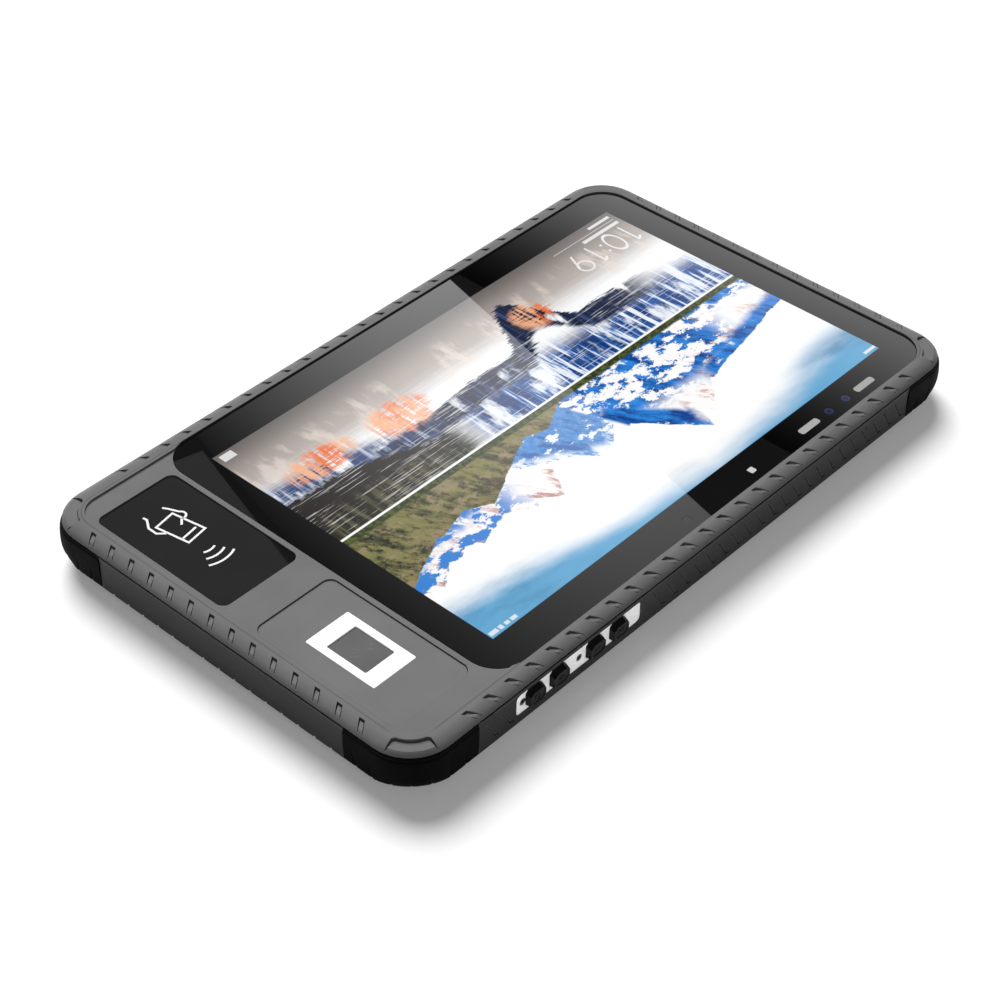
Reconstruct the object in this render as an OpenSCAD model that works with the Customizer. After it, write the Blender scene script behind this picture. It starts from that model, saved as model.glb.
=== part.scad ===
// Rugged 8 inch identity tablet with card reader and fingerprint reader.
// Lies on its back on z = 0, screen up. +X runs to the card reader, +Y to the key edge.
// All sizes are in millimetres.

/* [Body] */
// Length over the rim, along X
body_l = 236.2; // [220:0.2:285]
// Width over the rim, along Y
body_w = 141.6; // [138:0.2:175]
// Height of the glass face above the back
glass_z = 16; // [15:0.1:20]
// Outer corner radius of the rim
corner_r = 13.5; // [12:0.5:18]
// Height of the rim's crest above the glass
rim_rise = 0.55; // [0.2:0.05:1.2]
// Width of the rim, from its inner edge to the parting line
rim_w = 5.4; // [5:0.1:7]
// Depth of the parting line below the glass
crease_drop = 1.25; // [0.8:0.05:2]
// Height of the side panels' lower edge above the back
side_z = 3.3; // [2.5:0.1:5]
// Distance that the back's sloped edge runs inwards
back_slope = 3.4; // [2:0.1:4]
// Thickness of the back
back_wall = 1.8; // [1.2:0.1:3]
// Thickness of the rear shell's side wall
side_wall = 2.2; // [1.6:0.1:3]
// Thickness of the side panels and bumpers
skin = 2; // [1.6:0.1:3]

/* [Screen] */
// Centre of the screen from the centre of the body, along X
display_x = -15.9; // [-20:0.1:-12]
// Length of the cover glass
glass_l = 192.5; // [180:0.1:200]
// Width of the cover glass
glass_w = 130.4; // [120:0.1:131]
// Thickness of the cover glass
glass_t = 0.9; // [0.6:0.1:1.2]
// Corner radius of the cover glass
glass_r = 10; // [4:0.5:12]
// Gap round the cover glass
glass_gap = 0.2; // [0.1:0.05:0.3]
// Length of the display module
module_l = 180; // [170:0.5:184]
// Width of the display module
module_w = 112; // [100:0.5:114]
// Thickness of the display module
module_t = 2.3; // [1.5:0.1:3]
// Distance of the cameras' row from the screen's centre, along Y
sensor_y = 61; // [58:0.1:62]

/* [Rim notches] */
// Pitch of the notches
notch_pitch = 7.9; // [6:0.1:12]
// Number of notches on each long side
notches_long = 25; // [5:1:25]
// Number of notches on each short side
notches_short = 14; // [3:1:14]
// Width of a notch along the rim
notch_w = 2; // [1.2:0.1:3]
// Depth of a notch's floor below the glass
notch_drop = 0.1; // [0:0.05:0.5]
// Width of the deeper channel round a notch's floor
channel_w = 0.32; // [0.2:0.02:0.5]
// Depth of that channel below the floor
channel_depth = 0.55; // [0.2:0.05:0.6]
// Sideways run of a notch for each millimetre outwards
notch_lean = 0.72; // [0:0.02:1]

/* [Readers] */
// Centre of both reader pads from the centre of the body, along X
reader_x = 96.1; // [94:0.1:98]
// Width of both pads, along X
pad_l = 27.7; // [24:0.1:28]
// Length of both pads, along Y
pad_w = 51.4; // [46:0.1:54]
// Distance of each pad's centre from the body's centre, along Y
pad_y = 31.6; // [30:0.1:33]
// Corner radius of the pads
pad_r = 2.6; // [1:0.1:4]
// Depth of the pads' faces below the front panel
pad_drop = 0.4; // [0.2:0.05:0.8]
// Width of the white bezel, along X
bezel_l = 15.5; // [14:0.1:20]
// Length of the white bezel, along Y
bezel_w = 25; // [20:0.1:30]
// Width of the sensor window, along X
window_l = 10.6; // [8:0.1:13]
// Length of the sensor window, along Y
window_w = 14.3; // [10:0.1:18]

/* [Corners and side panels] */
// Length of a bumper along each side, from the outline's corner
bumper_len = 24; // [20:0.5:30]
// How far the bumpers stand out from the side panels
bumper_proud = 0.4; // [0.2:0.05:0.8]
// How much further the bumpers bulge at the middle of the corner
bumper_bulge = 0.8; // [0.2:0.1:1.2]
// How much further the bumpers' lower edge tucks in at the middle of the corner
bumper_tuck = 1.5; // [0.5:0.1:1.6]
// Gap between panels, bumpers and shells
seam = 0.15; // [0.05:0.05:0.3]
// Depth of the grooves in the side panels
groove_depth = 0.35; // [0.2:0.05:0.6]
// Pitch of the grooves in the side panels
groove_pitch = 5.6; // [4:0.05:8]

/* [Keys] */
// Centre of the key slot from the centre of the body, along X
key_slot_x = 54.9; // [45:0.1:60]
// Length of the key slot
key_slot_l = 49.8; // [48:0.1:56]
// Height of the key slot
key_slot_h = 7.2; // [6:0.1:7.4]
// Height of the key slot's centre above the back
key_z = 9.3; // [9:0.1:9.8]
// Width of a key
key_w = 6.2; // [5:0.1:6.6]
// Chamfer on a key's corners
key_chamfer = 1.5; // [0.5:0.1:2]
// How far a key stands out from the side panel
key_proud = 1.3; // [0.7:0.1:2]
// Travel of a key
key_travel = 0.6; // [0.3:0.1:0.8]
// Sliding gap round a key
key_gap = 0.15; // [0.1:0.05:0.3]

/* [Port door] */
// Length of the door
door_l = 50; // [40:1:60]
// Height of the door above its hinge axis
door_h = 7.4; // [6:0.1:8]
// Radius of the hinge pin
pin_r = 0.5; // [0.4:0.05:0.6]
// Running gap between pin and door
pin_gap = 0.05; // [0.02:0.01:0.1]
// Radius of the door's knuckle
knuckle_r = 1; // [0.9:0.05:1.2]
// Gap round the door
door_gap = 0.3; // [0.2:0.05:0.5]

/* [Back] */
// Length of the battery cover
cover_l = 130; // [100:1:150]
// Width of the battery cover
cover_w = 70; // [50:1:76]
// Thickness of the battery cover
cover_t = 1.2; // [0.8:0.1:1.5]
// Centre of the battery cover along Y
cover_y = -14; // [-18:1:-10]
// Thickness of the battery
battery_t = 6.4; // [4:0.1:7]
// Spacing of the strap inserts along X
strap_l = 190; // [180:1:200]
// Spacing of the strap inserts along Y
strap_w = 94; // [90:1:100]
// Radius of the strap inserts' bore
strap_r = 1.25; // [1:0.05:1.7]
// Depth of the strap inserts' bore
strap_depth = 4; // [3:0.5:5]

/* [Hidden] */
$fn = 64;
eps = 0.01;
// Length of a cut that runs right through the body
through = 40;
// Small step that keeps a face clear of the face beside it
relief = 0.05;

frame_grey = [0.42, 0.42, 0.42];
panel_grey = [0.16, 0.16, 0.17];
rubber_black = [0.04, 0.04, 0.04];
steel = [0.62, 0.62, 0.64];
board_green = [0.08, 0.30, 0.16];
brass = [0.72, 0.58, 0.28];

// Heights
rim_z = glass_z + rim_rise;
crease_z = glass_z - crease_drop;
parting_gap = 0.3;
skin_top = crease_z - parting_gap;
frame_foot = skin_top + 0.05;
seal_t = 0.5;
seal_inset = 0.4;
gasket_t = 0.2;
ledge_z = glass_z - glass_t - gasket_t;
ledge_t = 1;
frame_low = ledge_z - ledge_t;
chassis_t = 0.8;
chassis_z = frame_low - module_t - chassis_t;
board_t = 1.2;
board_z = 8;

// Rim profile: a flat crest, then an arc down to the parting line
crest_w = 1.2;
rim_drop = rim_rise + crease_drop;
rim_run = rim_w - crest_w;
rim_arc_r = (rim_run * rim_run + rim_drop * rim_drop) / (2 * rim_drop);
rim_arc_end = asin(rim_run / rim_arc_r);
rim_steps = 8;
rim_root = 1;
rim_land = 0.6;

// Notches and corner recesses of the rim; a row's shift moves it along its side
notch_start = 1.3;
notch_run = 4;
notch_shift_keys = 0.5;
notch_shift_dock = 4;
notch_shift_card = 1.7;
notch_shift_ports = 1.7;
recess_r = 8.85;
recess_half_angle = 31;
recess_shoulder = 0.7;
recess_shoulder_angle = 4.5;
recess_floor = 0.25;
recess_steps = 6;

// Shell insets, measured inwards from the outline at the parting line
shell_out = skin + seam;
shell_in = shell_out + side_wall;
skirt_out = shell_in + 0.2;
skirt_t = 1.2;
skirt_low = crease_z - 3.4;

// Screws that hold the two shells together
case_screw_y = body_w / 2 - 10.8;
case_screw_xs = [-body_l / 2 + 12, -36, 22, body_l / 2 - 12];
case_head_r = 2.1;
case_shank_r = 1;
case_play = 0.2;
case_head_z = 1;
case_head_h = 1.2;
case_boss_r = 2.5;
case_boss_wall = 1;
case_boss_z = 7;
case_bore_h = 5.2;
case_screw_l = 9.5;

// Glass and what sits in it
glass_x = display_x - 0.15;
camera_xs = [display_x - 59.3, display_x - 51];
camera_r = 1.6;
camera_body_w = 6;
camera_body_h = 2;
camera_neck = 0.4;
lamp_xs = [display_x - 68.5, display_x - 41.4];
lamp_l = 8.7;
lamp_w = 2.4;
sensor_xs = [display_x - 14.3, display_x + 14.7];
sensor_w = 2.2;
inset_gap = 0.05;
inset_drop = 0.05;
lamp_r = lamp_w / 2 - 0.3;
sensor_r = 0.4;
hole_margin = 0.6;
lamp_margin = 0.4;
module_gap = 1;
module_r = 0.8;

// Reader pads
pad_gap = 0.2;
pad_t = 0.8;
high_corner_stop = 60;
pad_face_z = glass_z - pad_drop;
plate_t = 1;
bezel_x = reader_x;
bezel_y = pad_y - 0.4;
bezel_r = 0.4;
bezel_foot = 1.2;
bezel_opening = 2;
window_r = 0.5;
window_drop = 0.3;
reader_module_t = 3.95;
antenna_inset = 2;
antenna_ring = 3;
antenna_t = 0.35;
antenna_drop = 0.4;

// Keys
key_offsets = [17.8, 8.5, -5.9, -15.4];
key_hole_h = key_slot_h - 0.1;
key_h = key_hole_h - 2 * key_gap;
panel_face_y = body_w / 2;
plate_recess = 0.4;
flange_back_y = body_w / 2 - shell_out - 1;
key_flange_t = 0.6;
key_flange_wider = 0.5;
key_cap_taper = [0.95, 0.62];
key_dish = 0.18;
key_dish_rim = 0.35;
key_flange_y = flange_back_y - 0.1;
key_stem_r = 1.4;
key_stem_l = 0.9;
key_window_l = key_slot_l + 4;
key_window_h = key_slot_h + 1;
key_screw_xs = [22.1, 0];
key_screw_r = 0.7;
key_screw_head_r = 1.05;
plate_hole_x = -22.1;
plate_hole_r = 1.15;
switch_gap = key_travel + 0.1;
switch_front_y = key_flange_y - key_flange_t - key_stem_l - switch_gap;
switch_h = 1.5;
switch_w = 3.6;
switch_depth = 3;
key_board_t = 1;
key_board_h = 7.2;
key_post_r = 1.5;
key_slot_r = 1.6;

// Port door
door_axis_x = -body_l / 2 + knuckle_r;
door_axis_z = side_z + 0.9 + knuckle_r;
door_t = 1.5;
door_cut_low = door_axis_z - knuckle_r - door_gap;
door_cut_high = door_axis_z + door_h + door_gap;
pin_seat = 1.5;
pin_end_gap = 0.1;
door_plug_t = 1.1;
door_plug_gap = 0.9;
door_grip_l = 10;
door_grip_t = 0.6;
port_bay_l = door_l - 6;
port_bay_h = 5.6;
port_bay_z = 9.4;
socket_l = 4.7;
usb_y = -14;
usb_w = 13.2;
usb_z = 6.9;
usb_h = 4.8;
usb_wall = 0.5;
usb_tongue_t = 1.4;
micro_y = 4;
micro_w = 9;
micro_z = 7.6;
micro_h = 3.2;
micro_wall = 0.4;
audio_y = 17.5;
audio_z = 9.2;
audio_r = 2.5;
audio_bore_r = 1.8;
port_board_t = 1;

// Back
cavity_step = 3.4;
cavity_step_inset = 2.5;
cover_lip = 2.5;
cover_r = 4;
cover_gap = 0.2;
battery_l = cover_l - 12;
battery_w = cover_w - 12;
battery_z = back_wall + 0.4;
cover_screw_r = 0.9;
cover_screw_head_r = 1.7;
cover_screw_inset = 1.8;
finger_groove_l = 24;
finger_groove_w = 2.4;
camera_pos = [-72, 46];
flash_pos = [-59, 46];
rear_window_r = 4.5;
rear_window_t = 0.75;
rear_window_rim = 1;
rear_camera_w = 10;
rear_camera_h = 3.4;
flash_r = 2;
slot_pitch = 2.4;
slot_w = 1.1;
slot_l = 9;
speaker_pos = [76, -44];
speaker_l = 20;
speaker_w = 12;
speaker_t = 4;
insert_r = 2.3;
insert_wall = 1.4;
insert_low = 0.1;
boss_low = 1.5;
dock_pitch = 4;
dock_count = 8;
dock_r = 1.1;
dock_tip_r = 0.7;
dock_clear = 22;

// Boards: the four shield cans are [x, y, length, width]
main_board_l = 150;
main_board_w = 30;
main_board_pos = [-8, 40];
connector_t = 1.3;
shield_t = 1.4;
shields = [[-62, 44, 26, 16], [-28, 43, 30, 20], [8, 43, 30, 20], [44, 44, 26, 14]];

// Bumpers
bumper_steps = 16;
bumper_low = side_z - 0.25;
bumper_foot_tuck = 0.35;

// Lip along the top of each side panel, and the nicks in the card panel's foot
panel_lip = 0.3;
panel_lip_h = 0.65;
panel_lip_inset = 0.6;
nick_pitch = 6;
nick_w = 0.8;
nick_h = 0.7;
nick_depth = 0.3;

// Side panel grooves: on the key edge a long run, and two beyond the key slot
groove_w = 0.5;
groove_h = 6.1;
groove_lean = 3.8;
groove_foot = 1.6;
groove_z = 5.6;
key_edge_grooves = [for (k = [0:20]) -91 + k * groove_pitch, 82, 87.8];
dock_edge_grooves = [for (k = [0:13]) -84 + k * groove_pitch, for (k = [0:13]) 12 + k * groove_pitch];
mic_x = display_x - 56.9;
mic_z = key_z + 2.2;
mic_r = 0.5;

// ---------------------------------------------------------------- shared shapes

// Flat plate with round corners, its lower face on z = 0
module plate(l, w, t, r) {
    linear_extrude(t) {
        square([l - 2 * r, w], center = true);
        square([l, w - 2 * r], center = true);
        for (sx = [-1, 1], sy = [-1, 1])
            translate([sx * (l / 2 - r), sy * (w / 2 - r)]) circle(r);
    }
}

// Plate with the body's outline, drawn in by inset
module body_plate(inset, z, t) {
    translate([0, 0, z])
        plate(body_l - 2 * inset, body_w - 2 * inset, t, corner_r - inset);
}

// Ring between two insets of the body's outline
module body_ring(inset_out, inset_in, z, t) {
    difference() {
        body_plate(inset_out, z, t);
        body_plate(inset_in, z - eps, t + 2 * eps);
    }
}

// Carries a profile round the body's outline. The profile's x is the distance from the
// corner arc's centre, and its y is the height.
module round_body() {
    for (k = [0:3]) rotate(90 * k) {
        a = k % 2 == 0 ? body_l : body_w;
        b = k % 2 == 0 ? body_w : body_l;
        translate([a / 2 - corner_r, 0, 0])
            rotate([90, 0, 0]) linear_extrude(b - 2 * corner_r, center = true) children();
        translate([a / 2 - corner_r, b / 2 - corner_r, 0])
            rotate_extrude(angle = 90) children();
    }
}

// Section of the rim
module rim_section() {
    base = corner_r - rim_w;
    polygon([
        [base - rim_root, frame_low],
        [base - rim_root, rim_z],
        for (k = [0:rim_steps])
            let (a = rim_arc_end * k / rim_steps)
            [base + crest_w + rim_arc_r * sin(a), rim_z - rim_arc_r * (1 - cos(a))],
        [corner_r, crease_z - eps],
        [corner_r - rim_land, crease_z - eps],
        [corner_r - rim_land, frame_foot],
        [corner_r - skirt_out, frame_foot],
        [corner_r - skirt_out, frame_low]
    ]);
}

// Cut down to a floor at height z, with a deeper channel along the floor's edge. The first child
// is the plan of the cut, and the second is the plan of its floor.
module channelled_cut(z) {
    difference() {
        translate([0, 0, z - channel_depth]) linear_extrude(through) children(0);
        translate([0, 0, z - channel_depth - 1]) linear_extrude(channel_depth + 1) children(1);
    }
}

// Plan of a notch that starts at x = 0 and runs outwards along +Y from the rim's inner edge,
// with its sides and its inner end drawn in by inset
module notch_plan(inset, run) {
    side = notch_w / 2 - inset;
    near = -notch_lean * inset;
    far = -notch_lean * run;
    polygon([
        [near - side, notch_start + inset],
        [near + side, notch_start + inset],
        [far + side, notch_start + run],
        [far - side, notch_start + run]
    ]);
}

module notch() {
    channelled_cut(glass_z - notch_drop) {
        notch_plan(0, notch_run);
        notch_plan(channel_w, notch_run + 1);
    }
}

// All the notches of one side; the side's rim lies at distance half along +Y
module notch_row(count, half, shift) {
    for (k = [0:count - 1])
        translate([shift + (k - (count - 1) / 2) * notch_pitch, half - rim_w, 0]) notch();
}

// Plan of the recess in each corner of the rim, from the corner arc's centre along +X: a ring
// sector whose inner corners are cut, with its edges drawn in by inset
module corner_recess_plan(inset) {
    r = recess_r + inset;
    half = recess_half_angle - asin(inset / recess_r);
    arc = half - recess_shoulder_angle;
    far = 2 * corner_r + inset;
    polygon([
        for (k = [-recess_steps:recess_steps])
            let (a = arc * k / recess_steps)
            [r * cos(a), r * sin(a)],
        for (end = [[r + recess_shoulder, half], [far, half], [far, -half], [r + recess_shoulder, -half]])
            [end[0] * cos(end[1]), end[0] * sin(end[1])]
    ]);
}

module corner_recesses() {
    for (k = [0:3]) {
        sx = (k == 0 || k == 3) ? 1 : -1;
        sy = k < 2 ? 1 : -1;
        translate([sx * (body_l / 2 - corner_r), sy * (body_w / 2 - corner_r), 0])
            rotate(45 + 90 * k) channelled_cut(glass_z - recess_floor) {
                corner_recess_plan(0);
                corner_recess_plan(channel_w);
            }
    }
}

module case_screw_places() {
    for (x = case_screw_xs, s = [-1, 1]) translate([x, s * case_screw_y, 0]) children();
}

module strap_places() {
    for (sx = [-1, 1], sy = [-1, 1]) translate([sx * strap_l / 2, sy * strap_w / 2, 0]) children();
}

module cover_screw_places() {
    for (sx = [-1, 1], sy = [-1, 1])
        translate([
            sx * (cover_l / 2 - cover_lip - cover_screw_inset),
            cover_y + sy * (cover_w / 2 - cover_lip - cover_screw_inset),
            0
        ]) children();
}

// ---------------------------------------------------------------- front

module glass_plate(grow, z, t) {
    translate([glass_x, 0, z])
        plate(glass_l + 2 * grow, glass_w + 2 * grow, t, glass_r + grow);
}

module pad_plate(side, grow, z, t) {
    translate([reader_x, side * pad_y, z])
        plate(pad_l + 2 * grow, pad_w + 2 * grow, t, pad_r + grow);
}

module rim_ring() {
    round_body() rim_section();
}

// Holes for what sits in the glass's border, wider than it by margins
module border_holes(margin, side_margin) {
    for (x = camera_xs) translate([x, sensor_y, 0]) cylinder(r = camera_r + margin, h = through);
    for (x = lamp_xs)
        translate([x, sensor_y, 0]) plate(lamp_l + margin, lamp_w + side_margin, through, lamp_r);
    for (x = sensor_xs)
        translate([x, sensor_y, 0]) plate(sensor_w + margin, sensor_w + margin, through, sensor_r);
}

module display_opening() {
    translate([display_x, 0, 0]) plate(module_l + module_gap, module_w + module_gap, through, module_r);
}

module front_frame() {
    fill_l = body_l - 2 * rim_w + rim_root;
    fill_w = body_w - 2 * rim_w + rim_root;
    fill_r = corner_r - rim_w + rim_root / 2;
    high_end = body_l / 2 - high_corner_stop;
    color(frame_grey) {
        difference() {
            union() {
                difference() {
                    rim_ring();
                    corner_recesses();
                    notch_row(notches_long, body_w / 2, notch_shift_keys);
                    rotate(180) notch_row(notches_long, body_w / 2, notch_shift_dock);
                    rotate(-90) notch_row(notches_short, body_l / 2, notch_shift_card);
                    rotate(90) notch_row(notches_short, body_l / 2, notch_shift_ports);
                }
                // front panel, level with the glass
                translate([0, 0, frame_low]) plate(fill_l, fill_w, glass_z - frame_low, fill_r);
                // high corners of the screen's pocket, level with the rim
                intersection() {
                    translate([0, 0, frame_low]) plate(fill_l, fill_w, rim_z - frame_low, fill_r);
                    translate([high_end - body_l, -body_w / 2, 0]) cube([body_l, body_w, rim_z]);
                }
                // skirt inside the rear shell
                body_ring(skirt_out, skirt_out + skirt_t, skirt_low, frame_low - skirt_low + eps);
                case_screw_places() translate([0, 0, case_boss_z])
                    cylinder(r = case_boss_r, h = frame_low - case_boss_z + eps);
            }
            glass_plate(glass_gap, ledge_z, through);
            display_opening();
            pad_plate(-1, pad_gap, pad_face_z - pad_t, through);
            pad_plate(1, pad_gap, pad_face_z - plate_t, through);
            translate([bezel_x, bezel_y, 0])
                plate(bezel_l + 2 * bezel_opening, bezel_w + 2 * bezel_opening, through, bezel_r);
            case_screw_places() cylinder(r = case_shank_r, h = case_boss_z + case_bore_h);
            border_holes(hole_margin, lamp_margin);
        }
    }
}

module cover_glass() {
    color([0.02, 0.02, 0.02]) difference() {
        glass_plate(0, glass_z - glass_t, glass_t);
        border_holes(2 * inset_gap, 2 * inset_gap);
    }
}

module glass_gasket() {
    color([0.1, 0.1, 0.1]) difference() {
        glass_plate(-seal_inset, ledge_z, gasket_t);
        display_opening();
        border_holes(hole_margin, lamp_margin);
    }
}

module display_panel() {
    top = glass_z - glass_t;
    color([0.25, 0.3, 0.4])
        translate([display_x, 0, chassis_z + chassis_t])
            plate(module_l, module_w, top - chassis_z - chassis_t, module_r);
}

module front_camera(x) {
    color([0.05, 0.06, 0.12]) translate([x, sensor_y, 0]) {
        body_top = frame_low - camera_body_h / 2;
        translate([0, 0, ledge_z]) cylinder(r = camera_r, h = glass_z - inset_drop - ledge_z);
        translate([0, 0, body_top - eps]) cylinder(r = camera_r + camera_neck, h = ledge_z - body_top + eps);
        translate([-camera_body_w / 2, -camera_body_w / 2, body_top - camera_body_h])
            cube([camera_body_w, camera_body_w, camera_body_h]);
    }
}

module lamp_window(x) {
    color([0.75, 0.75, 0.73]) translate([x, sensor_y, frame_low])
        plate(lamp_l, lamp_w, glass_z - inset_drop - frame_low, lamp_r);
}

module small_sensor(x, shade) {
    color([shade, shade, shade]) translate([x, sensor_y, frame_low])
        plate(sensor_w, sensor_w, glass_z - inset_drop - frame_low, sensor_r);
}

// ---------------------------------------------------------------- readers

module card_pad() {
    color([0.03, 0.03, 0.03]) pad_plate(-1, 0, pad_face_z - pad_t, pad_t);
}

module card_antenna() {
    l = pad_l - antenna_inset;
    w = pad_w - 2 * antenna_inset;
    color([0.7, 0.4, 0.15]) difference() {
        translate([reader_x, -pad_y, frame_low - antenna_drop]) plate(l, w, antenna_t, 2);
        translate([reader_x, -pad_y, 0]) plate(l - 2 * antenna_ring, w - 2 * antenna_ring, through, 1);
    }
}

module fingerprint_plate() {
    color(frame_grey * 1.05) difference() {
        pad_plate(1, 0, pad_face_z - plate_t, plate_t);
        translate([bezel_x, bezel_y, 0])
            plate(bezel_l + 2 * inset_gap, bezel_w + 2 * inset_gap, through, bezel_r);
    }
}

module fingerprint_bezel() {
    color("white") translate([bezel_x, bezel_y, 0]) difference() {
        union() {
            translate([0, 0, frame_low]) plate(bezel_l, bezel_w, pad_face_z + relief - frame_low, bezel_r);
            translate([0, 0, frame_low])
                plate(bezel_l + 2 * bezel_foot, bezel_w + 2 * bezel_foot,
                    pad_face_z - plate_t - relief - frame_low, bezel_r);
        }
        plate(window_l + 2 * inset_gap, window_w + 2 * inset_gap, through, window_r);
    }
}

module fingerprint_window() {
    color([0.3, 0.3, 0.3]) translate([bezel_x, bezel_y, frame_low])
        plate(window_l, window_w, pad_face_z - window_drop - frame_low, window_r);
}

module fingerprint_module() {
    color(board_green) translate([bezel_x, bezel_y, frame_low - reader_module_t - relief])
        plate(bezel_l + 4, bezel_w + 3, reader_module_t, 1);
}

// ---------------------------------------------------------------- inside

module mid_chassis() {
    color(steel) difference() {
        body_plate(shell_in + skirt_t + 1, chassis_z, chassis_t);
        case_screw_places() cylinder(r = case_boss_r + 0.4, h = through);
        for (x = camera_xs) translate([x - 3.6, sensor_y - 4, 0]) cube([7.2, 12, through]);
        translate([bezel_x, bezel_y, 0]) plate(bezel_l + 5, bezel_w + 4, through, 1);
        // room for the key board and the port board
        translate([key_slot_x - key_slot_l / 2 - 1, switch_front_y - 4, 0])
            cube([key_slot_l + 2, 10, through]);
        translate([-body_l / 2, -port_bay_l / 2 - 1, 0]) cube([13, port_bay_l + 2, through]);
        // cable opening
        translate([display_x + module_l / 2 - 30, -body_w / 2 + 24, 0]) plate(30, 20, through, 3);
    }
}

module main_board() {
    color(board_green) {
        translate([main_board_pos[0], main_board_pos[1], board_z])
            plate(main_board_l, main_board_w, board_t, 1.5);
        translate([45, 31, board_z + board_t - eps]) plate(22, 5, connector_t, 0.3);
        translate([-60, 31, board_z + board_t - eps]) plate(16, 5, connector_t, 0.3);
    }
}

module board_shields() {
    color(steel) for (can = shields)
        translate([can[0], can[1], board_z + board_t]) plate(can[2], can[3], shield_t, 0.8);
}

module battery_pack() {
    color([0.12, 0.12, 0.14]) translate([0, cover_y, battery_z])
        plate(battery_l, battery_w, battery_t, 1.5);
}

// ---------------------------------------------------------------- rear

module rear_shell() {
    color(panel_grey) {
        difference() {
            union() {
                body_plate(shell_out, side_z - 0.1, frame_foot - seal_t - side_z + 0.1);
                back_body();
            }
            body_plate(shell_in, back_wall + cavity_step, through);
            body_plate(shell_in + cavity_step_inset, back_wall, through);
            // battery bay and its cover's seat
            translate([0, cover_y, -1])
                plate(cover_l - 2 * cover_lip, cover_w - 2 * cover_lip, through, cover_r - 1);
            translate([0, cover_y, -1])
                plate(cover_l + 2 * cover_gap, cover_w + 2 * cover_gap, 1 + cover_t, cover_r + cover_gap);
            // rear camera, flash and sound slots
            translate([camera_pos[0], camera_pos[1], -1])
                cylinder(r = rear_window_r + 0.1, h = 1 + insert_low + rear_window_t + relief);
            translate([camera_pos[0], camera_pos[1], -1])
                cylinder(r = rear_window_r - rear_window_rim, h = through);
            translate([flash_pos[0], flash_pos[1], -1]) cylinder(r = flash_r + 0.1, h = through);
            for (k = [-3:3])
                translate([speaker_pos[0] + k * slot_pitch, speaker_pos[1], -1])
                    plate(slot_w, slot_l, through, slot_w / 2 - relief);
            // key window
            translate([key_slot_x - key_window_l / 2, body_w / 2 - shell_in - 3, key_z - key_window_h / 2])
                cube([key_window_l, 12, key_window_h]);
            translate([mic_x, body_w / 2, mic_z]) rotate([90, 0, 0]) cylinder(r = mic_r, h = 12);
            // port bay
            translate([-body_l / 2 - 1, -port_bay_l / 2, port_bay_z - port_bay_h / 2])
                cube([shell_in + 5, port_bay_l, port_bay_h]);
            translate([-body_l / 2 - 1, -door_l / 2 - door_gap, door_cut_low])
                cube([shell_out + 1.4, door_l + 2 * door_gap, door_cut_high - door_cut_low]);
            case_screw_bores();
            insert_bores();
            dock_places() cylinder(r = dock_r, h = 12, center = true);
        }
        difference() {
            case_screw_places() translate([0, 0, boss_low])
                cylinder(r = case_boss_r + case_boss_wall, h = case_boss_z - boss_low - case_play);
            case_screw_bores();
        }
        difference() {
            strap_places() translate([0, 0, boss_low]) cylinder(r = insert_r + insert_wall, h = strap_depth);
            insert_bores();
        }
    }
}

// Stepped bores of the case screws in the rear shell
module case_screw_bores() {
    case_screw_places() translate([0, 0, -1]) {
        cylinder(r = case_shank_r + case_play, h = through);
        cylinder(r = case_head_r + case_play, h = 1 + case_head_z + case_head_h);
    }
}

// Seats of the strap inserts in the rear shell
module insert_bores() {
    strap_places() translate([0, 0, -1]) cylinder(r = insert_r, h = 1 + strap_depth + hole_margin);
}

// The back below the side panels: a sloped band round a flat floor
module back_body() {
    round_body() polygon([
        [0, 0],
        [corner_r - back_slope - shell_out, 0],
        [corner_r - shell_out, side_z - 0.1],
        [corner_r - shell_out, side_z],
        [0, side_z]
    ]);
    translate([-body_l / 2 + corner_r, -body_w / 2 + corner_r, 0])
        cube([body_l - 2 * corner_r, body_w - 2 * corner_r, side_z]);
}

module case_seal() {
    color([0.55, 0.1, 0.08])
        body_ring(shell_out + seal_inset, shell_in - seal_inset, frame_foot - seal_t, seal_t);
}

module battery_cover() {
    color([0.13, 0.13, 0.14]) difference() {
        union() {
            translate([0, cover_y, 0]) plate(cover_l, cover_w, cover_t - relief, cover_r);
            translate([0, cover_y, 0])
                plate(cover_l - 2 * (cover_lip + cover_gap), cover_w - 2 * (cover_lip + cover_gap),
                    back_wall, cover_r - 1.2);
        }
        cover_screw_places() translate([0, 0, -1]) {
            cylinder(r = cover_screw_r + seam, h = through);
            cylinder(r = cover_screw_head_r + cover_gap, h = 1.9);
        }
        // finger groove
        translate([0, cover_y + cover_w / 2 - 3, -1])
            plate(finger_groove_l, finger_groove_w, 1.5, finger_groove_w / 2 - 0.1);
    }
}

module battery_cover_screws() {
    color(steel) cover_screw_places() difference() {
        union() {
            translate([0, 0, 0.1]) cylinder(r = cover_screw_head_r, h = 0.8);
            translate([0, 0, 0.1]) cylinder(r = cover_screw_r, h = 1.9);
        }
        translate([0, 0, -0.5]) cylinder(r = 0.7, h = 1.1, $fn = 6);
    }
}

module case_screws() {
    color(steel) case_screw_places() difference() {
        union() {
            translate([0, 0, case_head_z]) cylinder(r = case_head_r, h = case_head_h);
            translate([0, 0, case_head_z]) cylinder(r = case_shank_r, h = case_screw_l);
        }
        translate([0, 0, case_head_z - 0.5]) cylinder(r = 0.9, h = 1.3, $fn = 6);
    }
}

module strap_inserts() {
    color(brass) strap_places() difference() {
        translate([0, 0, insert_low]) cylinder(r = insert_r, h = strap_depth);
        cylinder(r = strap_r, h = strap_depth + 1);
    }
}

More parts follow.
